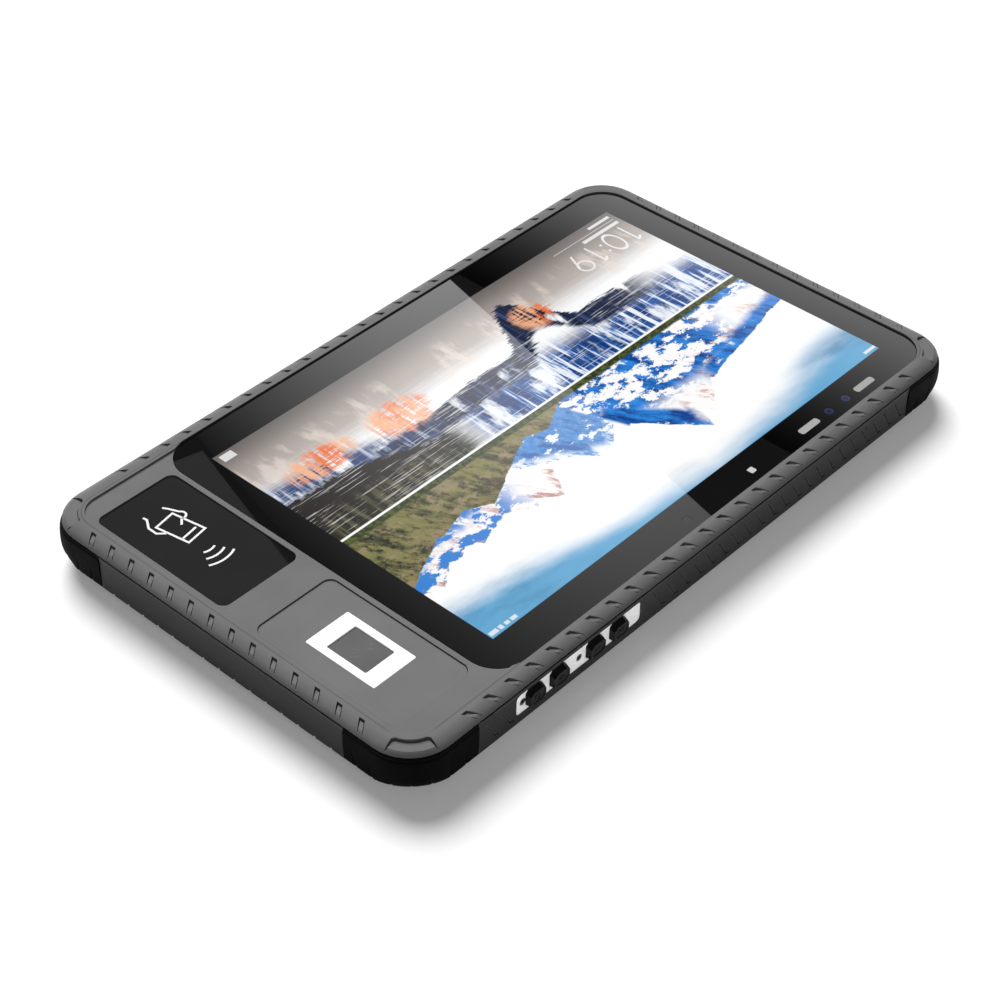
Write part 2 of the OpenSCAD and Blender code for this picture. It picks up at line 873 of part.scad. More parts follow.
module rear_camera() {
    color([0.08, 0.08, 0.09]) translate([camera_pos[0], camera_pos[1], 0]) {
        translate([0, 0, 1]) cylinder(r = rear_window_r - rear_window_rim - 0.1, h = back_wall);
        translate([-rear_camera_w / 2, -rear_camera_w / 2, back_wall + 0.1])
            cube([rear_camera_w, rear_camera_w, rear_camera_h]);
    }
}

module rear_camera_window() {
    color([0.05, 0.05, 0.08]) translate([camera_pos[0], camera_pos[1], insert_low])
        cylinder(r = rear_window_r, h = rear_window_t);
}

module flash_lens() {
    color([0.9, 0.88, 0.8]) translate([flash_pos[0], flash_pos[1], 0.1]) {
        cylinder(r = flash_r, h = 1.6);
        translate([0, 0, 1.6]) cylinder(r = flash_r - 0.3, h = 0.8);
    }
}

module speaker() {
    color([0.1, 0.1, 0.1]) translate([speaker_pos[0], speaker_pos[1], back_wall + 0.1])
        plate(speaker_l, speaker_w, speaker_t, 2);
}

// ---------------------------------------------------------------- sides

// One slanted groove with its foot, cut into a panel that faces +Y
module groove(x) {
    lean = atan(groove_lean / groove_h);
    length = groove_h / cos(lean);
    translate([x, body_w / 2 - groove_depth, groove_z]) {
        rotate([0, lean, 0]) translate([-groove_w / 2, 0, 0]) cube([groove_w, skin, length]);
        translate([-groove_foot, 0, -groove_w / 2]) cube([groove_foot + groove_w / 2, skin, groove_w]);
    }
}

// Straight side panel of the given length that faces +Y at distance half
module side_panel(length, half) {
    translate([-length / 2, half - skin, side_z])
        cube([length, skin, skin_top - side_z]);
    translate([-length / 2 + panel_lip_inset, half - panel_lip, skin_top - panel_lip_h])
        cube([length - 2 * panel_lip_inset, 2 * panel_lip, panel_lip_h]);
}

module side_panel_keys() {
    color(panel_grey) difference() {
        side_panel(body_l - 2 * bumper_len - 2 * seam, body_w / 2);
        for (x = key_edge_grooves) groove(x);
        translate([key_slot_x, body_w / 2 + 2, key_z]) rotate([90, 0, 0]) key_slot_cut();
        translate([mic_x, body_w / 2 + 2, mic_z]) rotate([90, 0, 0]) cylinder(r = mic_r, h = 12);
    }
}

module key_slot_cut() {
    plate(key_slot_l, key_slot_h, 12, key_slot_r);
}

module side_panel_dock() {
    color(panel_grey) difference() {
        rotate(180) difference() {
            side_panel(body_l - 2 * bumper_len - 2 * seam, body_w / 2);
            for (x = dock_edge_grooves) if (abs(x + groove_lean / 2) > dock_clear) groove(x);
        }
        dock_places() cylinder(r = dock_r, h = 12, center = true);
    }
}

module dock_places() {
    for (k = [0:dock_count - 1])
        translate([(k - (dock_count - 1) / 2) * dock_pitch, -body_w / 2 + 2, key_z])
            rotate([90, 0, 0]) children();
}

module dock_contacts() {
    color(brass) dock_places() {
        translate([0, 0, -3]) cylinder(r = dock_r - relief, h = 4.6);
        translate([0, 0, -3]) cylinder(r = dock_tip_r, h = 4.9);
    }
}

module side_panel_card() {
    color(panel_grey) rotate(-90) difference() {
        side_panel(body_w - 2 * bumper_len - 2 * seam, body_l / 2);
        for (k = [-7:7])
            translate([k * nick_pitch - nick_w / 2, body_l / 2 - nick_depth, side_z - 1])
                cube([nick_w, skin, 1 + nick_h]);
    }
}

module side_panel_ports() {
    color(panel_grey) difference() {
        rotate(90) side_panel(body_w - 2 * bumper_len - 2 * seam, body_l / 2);
        translate([-body_l / 2 - 1, -door_l / 2 - door_gap, door_cut_low])
            cube([skin + 2, door_l + 2 * door_gap, door_cut_high - door_cut_low]);
        translate([door_axis_x, 0, door_axis_z]) rotate([90, 0, 0])
            cylinder(r = pin_r, h = door_l + 2 * door_gap + 2 * pin_seat, center = true);
    }
}

module port_door_pin() {
    color(steel) translate([door_axis_x, 0, door_axis_z]) rotate([90, 0, 0])
        cylinder(r = pin_r, h = door_l + 2 * (door_gap + pin_seat - pin_end_gap), center = true);
}

module port_door() {
    color(panel_grey) difference() {
        union() {
            translate([-body_l / 2, -door_l / 2, door_axis_z]) cube([door_t, door_l, door_h]);
            translate([door_axis_x, 0, door_axis_z]) rotate([90, 0, 0])
                cylinder(r = knuckle_r, h = door_l, center = true);
            // sealing plug that enters the port bay
            translate([
                -body_l / 2 + door_t - eps,
                -port_bay_l / 2 + door_plug_gap / 2,
                port_bay_z - port_bay_h / 2 + door_plug_gap
            ]) cube([door_plug_t, port_bay_l - door_plug_gap, port_bay_h - 2 * door_plug_gap]);
        }
        translate([door_axis_x, 0, door_axis_z]) rotate([90, 0, 0])
            cylinder(r = pin_r + pin_gap, h = door_l + 2, center = true);
        // finger lip
        translate([-body_l / 2 - 1, -door_grip_l / 2, door_axis_z + door_h - 1])
            cube([1 + door_grip_t, door_grip_l, 2]);
    }
}

module port_board() {
    back_x = -body_l / 2 + skirt_out + skirt_t + 0.2;
    board_x = back_x + socket_l - 0.1;
    board_h = port_bay_z + port_bay_h / 2 - back_wall;
    color(board_green) translate([board_x, -port_bay_l / 2 + 1, back_wall])
        cube([port_board_t, port_bay_l - 2, board_h]);
    color(steel) {
        // wide socket with its tongue
        translate([back_x, usb_y, usb_z]) {
            socket_shell(usb_w, usb_h, usb_wall);
            translate([1, 2 * usb_wall, (usb_h - usb_tongue_t) / 2])
                cube([socket_l - 1, usb_w - 4 * usb_wall, usb_tongue_t]);
        }
        translate([back_x, micro_y, micro_z]) socket_shell(micro_w, micro_h, micro_wall);
        translate([back_x, audio_y, audio_z]) rotate([0, 90, 0]) difference() {
            cylinder(r = audio_r, h = socket_l);
            translate([0, 0, -1]) cylinder(r = audio_bore_r, h = socket_l);
        }
    }
}

// Metal shell of a socket that opens towards -X
module socket_shell(w, h, wall) {
    difference() {
        cube([socket_l, w, h]);
        translate([-1, wall, wall]) cube([socket_l, w - 2 * wall, h - 2 * wall]);
    }
}

// Section of a bumper, as [distance out from the outline, height]; turn is 0 on the straights
// and 1 at the middle of the corner
function bumper_section(turn) =
    let (bulge = bumper_proud + bumper_bulge * turn, tuck = bumper_foot_tuck + bumper_tuck * turn)
    [
        [-skin, bumper_low],
        [-tuck, bumper_low],
        [-tuck * 0.45 + bulge * 0.3, bumper_low + 0.7],
        [bulge * 0.75, bumper_low + 1.9],
        [bulge, bumper_low + 3.6],
        [bulge, skin_top - 3.2],
        [bulge * 0.85, skin_top - 1.8],
        [bulge * 0.5, skin_top - 0.7],
        [-relief, skin_top],
        [-skin, skin_top]
    ];

// Stations along a bumper, as [point on the outline, outward angle, turn]
bumper_stations = [
    [[body_l / 2, body_w / 2 - bumper_len], 0, 0],
    for (k = [0:bumper_steps])
        let (a = 90 * k / bumper_steps)
        [
            [body_l / 2 - corner_r + corner_r * cos(a), body_w / 2 - corner_r + corner_r * sin(a)],
            a,
            sin(2 * a)
        ],
    [[body_l / 2 - bumper_len, body_w / 2], 90, 0]
];

module bumper(sx, sy) {
    n = len(bumper_section(0));
    last = len(bumper_stations) - 1;
    points = [
        for (s = bumper_stations, p = bumper_section(s[2]))
            [s[0][0] + p[0] * cos(s[1]), s[0][1] + p[0] * sin(s[1]), p[1]]
    ];
    sides = [
        for (i = [0:last - 1], j = [0:n - 1])
            let (q = (j + 1) % n)
            [i * n + j, i * n + q, (i + 1) * n + q, (i + 1) * n + j]
    ];
    first_cap = [for (j = [0:n - 1]) n - 1 - j];
    last_cap = [for (j = [0:n - 1]) last * n + j];
    color(rubber_black)
        mirror([sx < 0 ? 1 : 0, 0, 0]) mirror([0, sy < 0 ? 1 : 0, 0])
            polyhedron(points = points, faces = concat([first_cap, last_cap], sides));
}

// ---------------------------------------------------------------- keys

// Octagonal prism that faces +Y, centred on the key slot's height
module key_block(w, h, chamfer, y_back, y_front) {
    translate([0, y_front, key_z]) rotate([90, 0, 0]) linear_extrude(y_front - y_back)
        octagon(w, h, chamfer);
}

// Octagon with cut corners
module octagon(w, h, chamfer) {
    polygon([
        [-w / 2 + chamfer, -h / 2],
        [w / 2 - chamfer, -h / 2],
        [w / 2, -h / 2 + chamfer],
        [w / 2, h / 2 - chamfer],
        [w / 2 - chamfer, h / 2],
        [-w / 2 + chamfer, h / 2],
        [-w / 2, h / 2 - chamfer],
        [-w / 2, -h / 2 + chamfer]
    ]);
}

module key(k) {
    x = key_slot_x + key_offsets[k];
    front = panel_face_y + key_proud;
    shoulder = panel_face_y - plate_recess + 0.2;
    color(rubber_black) translate([x, 0, 0]) {
        key_block(key_w, key_h, key_chamfer, key_flange_y - relief, shoulder);
        difference() {
            translate([0, shoulder - eps, key_z]) rotate([-90, 0, 0])
                linear_extrude(front - shoulder + eps, scale = key_cap_taper)
                    octagon(key_w, key_h, key_chamfer);
            translate([0, front - key_dish, key_z]) rotate([-90, 0, 0]) linear_extrude(1) octagon(
                key_w * key_cap_taper[0] - 2 * key_dish_rim,
                key_h * key_cap_taper[1] - 2 * key_dish_rim,
                key_chamfer * key_cap_taper[1]
            );
        }
        key_block(key_w + key_flange_wider, key_window_h - key_flange_t, key_flange_t,
            key_flange_y - key_flange_t, key_flange_y);
        translate([0, key_flange_y - key_flange_t + eps, key_z]) rotate([90, 0, 0])
            cylinder(r = key_stem_r, h = key_stem_l);
    }
}

module key_plate() {
    face_y = panel_face_y - plate_recess;
    rebate_y = panel_face_y - skin - relief;
    color("white") difference() {
        union() {
            translate([key_slot_x, face_y, key_z]) rotate([90, 0, 0])
                plate(key_slot_l - 2 * relief, key_slot_h - 2 * relief,
                    face_y - flange_back_y, key_slot_r - relief);
            translate([key_slot_x, rebate_y, key_z]) rotate([90, 0, 0])
                plate(key_window_l - 0.4, key_window_h - 0.2, rebate_y - flange_back_y, 1);
        }
        for (k = [0:3]) translate([key_slot_x + key_offsets[k], 0, 0])
            key_block(key_w + 2 * key_gap, key_hole_h, key_chamfer, 0, body_w);
        for (x = key_screw_xs) translate([key_slot_x + x, face_y + 1, key_z]) rotate([90, 0, 0]) {
            cylinder(r = key_screw_head_r + 0.1, h = 1.6);
            cylinder(r = key_screw_r, h = 12);
        }
        translate([key_slot_x + plate_hole_x, face_y + 1, key_z]) rotate([90, 0, 0])
            cylinder(r = plate_hole_r, h = 12);
    }
}

module key_screws() {
    face_y = panel_face_y - plate_recess;
    color(steel) for (x = key_screw_xs)
        translate([key_slot_x + x, face_y - relief, key_z]) rotate([90, 0, 0]) difference() {
            union() {
                cylinder(r = key_screw_head_r, h = 0.5);
                cylinder(r = key_screw_r, h = face_y - switch_front_y + 1);
            }
            translate([0, 0, -1]) cylinder(r = 0.55, h = 1.4, $fn = 6);
        }
}

module key_board() {
    board_y = switch_front_y - switch_h;
    color(board_green) difference() {
        translate([key_slot_x - key_slot_l / 2, board_y - key_board_t, key_z - key_board_h / 2])
            cube([key_slot_l, key_board_t, key_board_h]);
        for (x = key_screw_xs) translate([key_slot_x + x, board_y + 5, key_z]) rotate([90, 0, 0])
            cylinder(r = key_screw_r, h = 12);
    }
    color(steel) for (x = key_offsets)
        translate([key_slot_x + x - switch_w / 2, board_y - eps, key_z - switch_depth / 2])
            cube([switch_w, switch_h, switch_depth]);
    color(steel) for (x = key_screw_xs) translate([key_slot_x + x, switch_front_y, key_z])
        rotate([90, 0, 0]) difference() {
            cylinder(r = key_post_r, h = switch_h + eps);
            translate([0, 0, -1]) cylinder(r = key_screw_r, h = 5);
        }
}

// ---------------------------------------------------------------- nodes

rear_shell();
case_seal();
front_frame();
cover_glass();
glass_gasket();
display_panel();
front_camera(camera_xs[0]);  // front_camera_a
front_camera(camera_xs[1]);  // front_camera_b
lamp_window(lamp_xs[0]);  // lamp_window_a
lamp_window(lamp_xs[1]);  // lamp_window_b
small_sensor(sensor_xs[0], 0.7);  // light_sensor
small_sensor(sensor_xs[1], 0.3);  // proximity_sensor
card_pad();
card_antenna();
fingerprint_plate();
fingerprint_bezel();
fingerprint_window();
fingerprint_module();
mid_chassis();
main_board();
board_shields();
battery_pack();
battery_cover();
battery_cover_screws();
case_screws();
strap_inserts();
side_panel_keys();
side_panel_dock();
side_panel_card();
side_panel_ports();
bumper(1, 1);  // bumper_key_card
bumper(-1, 1);  // bumper_key_port
bumper(-1, -1);  // bumper_dock_port
bumper(1, -1);  // bumper_dock_card
key_plate();
key_screws();
key_board();
key(0);  // key_power
key(1);  // key_volume_up
key(2);  // key_volume_down
key(3);  // key_scan
port_board();
port_door();
port_door_pin();
dock_contacts();
rear_camera();
rear_camera_window();
flash_lens();
speaker();
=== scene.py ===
"""Looks of a rugged data collector tablet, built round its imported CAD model.

Lengths in this file are millimetres unless a name ends in _m, and are turned into metres where they
reach Blender. +X runs to the card reader, +Y to the edge with the keys and +Z out of the screen.
"""

import logging
import math
from dataclasses import dataclass, field
from enum import Enum
from typing import Any, Callable, Iterable, Mapping, Sequence, Union

import bmesh
import bpy
from mathutils import Matrix, Vector


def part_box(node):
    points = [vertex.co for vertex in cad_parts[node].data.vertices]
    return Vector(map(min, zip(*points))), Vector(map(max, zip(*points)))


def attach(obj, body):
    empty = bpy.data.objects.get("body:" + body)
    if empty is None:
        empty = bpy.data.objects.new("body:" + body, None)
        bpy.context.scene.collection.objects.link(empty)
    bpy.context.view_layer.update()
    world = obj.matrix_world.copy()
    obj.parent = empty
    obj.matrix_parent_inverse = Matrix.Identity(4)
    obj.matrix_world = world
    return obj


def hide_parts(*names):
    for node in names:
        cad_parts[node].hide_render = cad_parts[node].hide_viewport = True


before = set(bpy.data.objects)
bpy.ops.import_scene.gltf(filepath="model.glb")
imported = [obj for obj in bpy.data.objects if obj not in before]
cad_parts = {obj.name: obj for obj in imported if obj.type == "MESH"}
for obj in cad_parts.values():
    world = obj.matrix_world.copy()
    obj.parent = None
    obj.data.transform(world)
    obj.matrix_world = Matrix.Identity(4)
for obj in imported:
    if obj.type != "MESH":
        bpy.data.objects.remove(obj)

log = logging.getLogger("tablet")

MM = 0.001
ROOT = "tablet"

Colour = tuple[float, float, float]
Number = Union[float, "Term"]
Paint = Union[Colour, "Tint"]
Spot = tuple[float, float]


def rgb(level: str) -> Colour:
    """Turns a six-digit display colour into linear light.

    Args:
        level: The colour as two hexadecimal digits each of red, green and blue.

    Returns:
        The same colour in linear light.
    """
    parts = [int(level[i : i + 2], 16) / 255 for i in (0, 2, 4)]
    return tuple(c / 12.92 if c <= 0.04045 else ((c + 0.055) / 1.055) ** 2.4 for c in parts)


# ------------------------------------------------------------------ shader maths


def two_sided(operation: str, swapped: bool = False) -> Callable[["Term", Number], "Term"]:
    """Makes a method that joins two numbers with a Math node.

    Args:
        operation: The Math node's operation.
        swapped: Whether the other number goes first.

    Returns:
        The method.
    """

    def joined(self: "Term", other: Number) -> "Term":
        """Adds the Math node."""
        return self._math(operation, *((other, self) if swapped else (self, other)))

    return joined


@dataclass(frozen=True)
class Term:
    """A number that changes over a surface: one output socket, with arithmetic.

    least and most pick the smaller and the larger of two numbers, and below is 1 where this one is
    less than the other and 0 elsewhere.
    """

    graph: "Graph"
    socket: bpy.types.NodeSocket

    def _math(self, operation: str, *values: Number) -> "Term":
        """Adds a Math node.

        Args:
            operation: The Math node's operation.
            values: Its inputs, in order.

        Returns:
            The node's result.
        """
        return self.graph.term("Math", {"operation": operation}, dict(enumerate(values)))

    __add__, __radd__ = two_sided("ADD"), two_sided("ADD", True)
    __sub__, __rsub__ = two_sided("SUBTRACT"), two_sided("SUBTRACT", True)
    __mul__, __rmul__ = two_sided("MULTIPLY"), two_sided("MULTIPLY", True)
    __truediv__, __pow__ = two_sided("DIVIDE"), two_sided("POWER")
    least, most, below = two_sided("MINIMUM"), two_sided("MAXIMUM"), two_sided("LESS_THAN")

    def __abs__(self) -> "Term":
        """Size without sign."""
        return self._math("ABSOLUTE", self)

    def root(self) -> "Term":
        """Square root."""
        return self._math("SQRT", self)

    def wrapped(self, period: float) -> "Term":
        """Place within a repeat.

        Args:
            period: Length of the repeat.

        Returns:
            The distance from the middle of the nearest repeat.
        """
        return self._math("WRAP", self, -period / 2, period / 2)

    def ramp(self, start: float, end: float) -> "Term":
        """Smooth step from 0 at start to 1 at end; start may be the larger.

        Args:
            start: Value that gives 0.
            end: Value that gives 1.

        Returns:
            The smooth step.
        """
        swap = start > end
        low, high = (end, start) if swap else (start, end)
        step = self.graph.term(
            "MapRange",
            {"interpolation_type": "SMOOTHSTEP"},
            {"Value": self, "From Min": low, "From Max": high},
        )
        return 1.0 - step if swap else step


@dataclass(frozen=True)
class Tint:
    """A colour that changes over a surface."""

    graph: "Graph"
    socket: bpy.types.NodeSocket

    def mixed(self, other: Paint, share: Number) -> "Tint":
        """Mixes in another colour.

        Args:
            other: The other colour.
            share: Its share, from 0 to 1.

        Returns:
            The mixture.
        """
        return self.graph.blend(self, other, share)


class Graph:
    """The node tree of one material."""

    def __init__(self, name: str) -> None:
        """Starts an empty material.

        Args:
            name: The material's name.
        """
        self.material = bpy.data.materials.new(name)
        self.material.use_nodes = True
        self.tree = self.material.node_tree
        self.tree.nodes.clear()
        self._place: bpy.types.Node | None = None

    def node(
        self,
        kind: str,
        settings: Mapping[str, Any] | None = None,
        sockets: Mapping[str | int, Any] | None = None,
    ) -> bpy.types.Node:
        """Adds a node.

        Args:
            kind: The node's type, without ShaderNode.
            settings: Its options, set first.
            sockets: Values or links of its inputs, by name, identifier or index.

        Returns:
            The new node.
        """
        made = self.tree.nodes.new("ShaderNode" + kind)
        for key, value in (settings or {}).items():
            setattr(made, key, value)
        for key, value in (sockets or {}).items():
            found = made.inputs[key] if isinstance(key, int) else self._input(made, key)
            if isinstance(value, (Term, Tint)):
                self.tree.links.new(value.socket, found)
            elif isinstance(value, bpy.types.NodeSocket):
                self.tree.links.new(value, found)
            elif isinstance(value, tuple) and found.type == "RGBA":
                found.default_value = (*value, 1.0)
            else:
                found.default_value = value
        return made

    @staticmethod
    def _input(node: bpy.types.Node, key: str) -> bpy.types.NodeSocket:
        """Finds an input by its identifier, or else by its name."""
        by_id = [s for s in node.inputs if s.identifier == key]
        return by_id[0] if by_id else node.inputs[key]

    def term(
        self,
        kind: str,
        settings: Mapping[str, Any] | None = None,
        sockets: Mapping[str | int, Any] | None = None,
    ) -> Term:
        """Adds a node and gives its first output as a number."""
        return Term(self, self.node(kind, settings, sockets).outputs[0])

    def blend(self, first: Paint, second: Paint, share: Number) -> Tint:
        """Mixes two colours.

        Args:
            first: Colour at share 0.
            second: Colour at share 1.
            share: Share of the second.

        Returns:
            The mixture.
        """
        sockets = {"Factor_Float": share, "A_Color": first, "B_Color": second}
        node = self.node("Mix", {"data_type": "RGBA"}, sockets)
        return Tint(self, next(s for s in node.outputs if s.identifier == "Result_Color"))

    def place(self) -> bpy.types.NodeSocket:
        """The point on the object, in metres."""
        if self._place is None:
            self._place = self.node("TexCoord")
        return self._place.outputs["Object"]

    def axes(self, centre: Sequence[float] = (0, 0, 0)) -> tuple[Term, Term, Term]:
        """The point on the object, in millimetres from a centre.

        Args:
            centre: The centre, in millimetres.

        Returns:
            The three coordinates.
        """
        parts = self.node("SeparateXYZ", None, {0: self.place()}).outputs
        return tuple(Term(self, parts[i]) * (1 / MM) - float(centre[i]) for i in range(3))

    def vector(self, x: Number, y: Number, z: Number = 0.0) -> bpy.types.NodeSocket:
        """Joins three numbers into one vector."""
        return self.node("CombineXYZ", None, {0: x, 1: y, 2: z}).outputs[0]

    def stretched(self, scale: Sequence[float]) -> bpy.types.NodeSocket:
        """The point on the object with each axis scaled.

        Args:
            scale: Factor along each axis.

        Returns:
            The scaled point.
        """
        return self.node("Mapping", None, {"Vector": self.place(), "Scale": tuple(scale)}).outputs[0]

    def noise(
        self,
        per_mm: float,
        detail: float = 2.0,
        roughness: float = 0.5,
        at: bpy.types.NodeSocket | None = None,
        seed: float = 0.0,
    ) -> Term:
        """Soft noise from 0 to 1.

        Args:
            per_mm: Waves in each millimetre.
            detail: Octaves of finer noise.
            roughness: Strength of each finer octave.
            at: Where it is read; the point on the object in metres if not given.
            seed: Picks another pattern.

        Returns:
            The noise.
        """
        scale = per_mm / MM if at is None else per_mm
        sockets = {
            "Vector": self.place() if at is None else at,
            "W": seed,
            "Scale": scale,
            "Detail": detail,
            "Roughness": roughness,
        }
        return self.term("TexNoise", {"noise_dimensions": "4D"}, sockets)

    def bump(
        self, height: Number, depth: float, normal: bpy.types.NodeSocket | None = None
    ) -> bpy.types.NodeSocket:
        """Turns a height from 0 to 1 into a normal.

        Args:
            height: The height.
            depth: Size of height 1, in millimetres.
            normal: Normal that this one is laid on.

        Returns:
            The normal.
        """
        sockets: dict[str | int, Any] = {"Strength": 1.0, "Distance": depth * MM, "Height": height}
        if normal is not None:
            sockets["Normal"] = normal
        return self.node("Bump", None, sockets).outputs[0]

    def soft_edges(self, radius: float) -> bpy.types.NodeSocket:
        """Normal that rounds the mesh's edges.

        Args:
            radius: Radius of the rounding, in millimetres.

        Returns:
            The rounded normal.
        """
        return self.node("Bevel", {"samples": 4}, {"Radius": radius * MM}).outputs[0]

    def edge_share(self, radius: float) -> Term:
        """Share of edge wear and painted edge highlight: 0 on a flat face, and near 1 on an edge.

        Args:
            radius: Reach of the wear and painted highlight from the edge, in millimetres.

        Returns:
            The share.
        """
        true_normal = self.node("NewGeometry").outputs["True Normal"]
        sockets = {0: self.soft_edges(radius), 1: true_normal}
        turned = Term(self, self.node("VectorMath", {"operation": "DOT_PRODUCT"}, sockets).outputs["Value"])
        return turned.ramp(0.99, 0.8)

    def finish(self, surface: Mapping[str, Any]) -> bpy.types.Material:
        """Adds the surface shader and the output.

        Args:
            surface: Values or links of the surface shader's sockets.

        Returns:
            The finished material.
        """
        shader = self.node("BsdfPrincipled", None, surface)
        self.node("OutputMaterial", None, {"Surface": shader.outputs[0]})
        return self.material


# ------------------------------------------------------------------ finishes


@dataclass(frozen=True)
class MouldedPlastic:
    """Moulded plastic or rubber with a fine grain, cloudy tone, edges lightened by wear and a painted
    highlight, and an optional glow of painted light.
    """

    name: str
    colour: Colour
    roughness: float = 0.5
    grain_per_mm: float = 5.0
    grain_depth: float = 0.012
    cloud: float = 0.06
    edge_wear_and_highlight: float = 0.25
    edge_reach: float = 0.25
    specular: float = 0.5
    glow: float = 0.0

    def material(self) -> bpy.types.Material:
        """Builds the material."""
        g = Graph(self.name)
        return g.finish(self.surface(g))

    def surface(self, g: Graph, mark: Number = 0.0) -> dict[str, Any]:
        """Works out the surface.

        Args:
            g: The material's graph.
            mark: Share of painted shade over the surface: a darker tone that stands for shadow.

        Returns:
            The surface shader's sockets.
        """
        grain = g.noise(self.grain_per_mm, 3.0, 0.55)
        cloud = g.noise(0.06, 3.0, 0.55, seed=2.0)
        scuff = g.noise(0.35, 4.0, 0.65, seed=5.0)
        lighter = tuple(min(1.0, c * (1 + self.cloud)) for c in self.colour)
        darker = tuple(c * (1 - self.cloud) for c in self.colour)
        rubbed_and_highlit = tuple(min(1.0, c * (1 + self.edge_wear_and_highlight) + 0.01 * self.edge_wear_and_highlight) for c in self.colour)
        base = g.blend(darker, lighter, cloud.ramp(0.3, 0.7))
        base = base.mixed(darker, scuff.ramp(0.62, 0.75) * 0.5)
        # edge wear and painted highlight: edges are lightened in scuffed patches where light would catch them
        base = base.mixed(rubbed_and_highlit, g.edge_share(self.edge_reach) * scuff.ramp(0.2, 0.5))
        # painted shade: mark darkens the colour where a painted shadow or shade is asked for
        base = base.mixed(tuple(c * 0.3 for c in self.colour), mark)
        normal = g.bump(grain, self.grain_depth, g.soft_edges(self.edge_reach * 0.6))
        sockets = {
            "Base Color": base,
            "Roughness": self.roughness - 0.06 + 0.12 * cloud + 0.05 * grain,
            "Specular IOR Level": self.specular,
            "Normal": normal,
        }
        # painted light: the plastic glows by itself, brighter than the lamps light it
        if self.glow:
            sockets["Emission Color"] = base
            sockets["Emission Strength"] = self.glow
        return sockets


@dataclass(frozen=True)
class RimmedPlastic(MouldedPlastic):
    """Grey shell plastic with a painted shadow line where the rim meets the flat panel, and painted shade on
    the rim's outer slope near the crease.
    """

    half_length: float = 118.1
    half_width: float = 70.8
    corner_r: float = 13.5
    rim_w: float = 5.45
    shadow_line_w: float = 0.16
    shadow_line_end: float = 16.0
    crease_z: float = 14.75
    rim_z: float = 16.55
    painted_crease_shade: float = 0.5

    def material(self) -> bpy.types.Material:
        """Builds the material."""
        g = Graph(self.name)
        x, y, z = g.axes()
        out_x = abs(x) - (self.half_length - self.corner_r)
        out_y = abs(y) - (self.half_width - self.corner_r)
        corner = (out_x.most(0.0) * out_x.most(0.0) + out_y.most(0.0) * out_y.most(0.0)).root()
        inset = self.corner_r - corner - out_x.most(out_y).least(0.0)
        # painted shadow: a thin dark line along the rim's inner edge stands for the shade of the step down to
        # the flat panel
        line = abs(inset - self.rim_w).ramp(self.shadow_line_w, self.shadow_line_w * 0.4)
        from_corner = (self.half_length - x).most(self.half_width - y)
        line = line * from_corner.ramp(self.shadow_line_end * 0.7, self.shadow_line_end)
        # painted shade: the rim's outer slope darkens towards the crease
        foot = (z - self.crease_z).ramp(0.75 * (self.rim_z - self.crease_z), 0.0)
        shade = foot * inset.ramp(3.2, 0.6) * self.painted_crease_shade
        return g.finish(self.surface(g, (0.7 * line).most(shade)))


@dataclass(frozen=True)
class GlossyPanel:
    """Polished glass or gloss plastic with faint smears."""

    name: str
    colour: Colour
    roughness: float = 0.08
    smear: float = 0.05
    coat: float = 0.0

    def material(self) -> bpy.types.Material:
        """Builds the material."""
        g = Graph(self.name)
        smear = g.noise(0.05, 4.0, 0.6, seed=3.0)
        dust = g.noise(2.0, 2.0, 0.6, seed=7.0).ramp(0.72, 0.8)
        lighter = tuple(c * 1.25 + 0.002 for c in self.colour)
        base = g.blend(self.colour, lighter, smear.ramp(0.35, 0.75))
        shine = self.roughness + self.smear * smear.ramp(0.45, 0.8) + 0.03 * dust
        return g.finish({"Base Color": base, "Roughness": shine, "Coat Weight": self.coat})


@dataclass(frozen=True)
class Lens:
    """Camera lens: dark blue glass with a coated ring."""

    name: str
    centres: tuple[tuple[float, float], ...]
    radius: float

    def material(self) -> bpy.types.Material:
        """Builds the material."""
        g = Graph(self.name)
        nearest: Term | None = None
        for centre in self.centres:
            x, y, _ = g.axes((*centre, 0.0))
            away = (x * x + y * y).root()
            nearest = away if nearest is None else nearest.least(away)
        ring = abs(nearest - self.radius * 0.62).ramp(self.radius * 0.16, 0.0)
        base = g.blend(rgb("0b1230"), rgb("1c2c66"), ring)
        base = base.mixed(rgb("020207"), nearest.ramp(self.radius * 0.45, self.radius * 0.25))
        dust = g.noise(2.0, 2.0, 0.6, seed=7.0).ramp(0.7, 0.8)
        shine = 0.06 + 0.05 * dust
        return g.finish({"Base Color": base, "Roughness": shine, "Coat Weight": 0.5 + 0.3 * ring})


@dataclass(frozen=True)
class Metal:
    """Turned, rolled or cast metal with fine lines."""

    name: str
    colour: Colour
    roughness: float = 0.3
    line_stretch: tuple[float, float, float] = (1.0, 1.0, 12.0)
    line_depth: float = 0.003

    def material(self) -> bpy.types.Material:
        """Builds the material."""
        g = Graph(self.name)
        lines = g.noise(2.0 / MM, 3.0, 0.6, at=g.stretched(self.line_stretch))
        stain = g.noise(0.15, 4.0, 0.6, seed=4.0)
        darker = tuple(c * 0.72 for c in self.colour)
        base = g.blend(self.colour, darker, stain.ramp(0.45, 0.8))
        shine = self.roughness + 0.15 * lines - 0.05 + 0.1 * stain.ramp(0.5, 0.8)
        return g.finish(
            {
                "Base Color": base,
                "Roughness": shine,
                "Metallic": 1.0,
                "Normal": g.bump(lines, self.line_depth, g.soft_edges(0.08)),
            }
        )


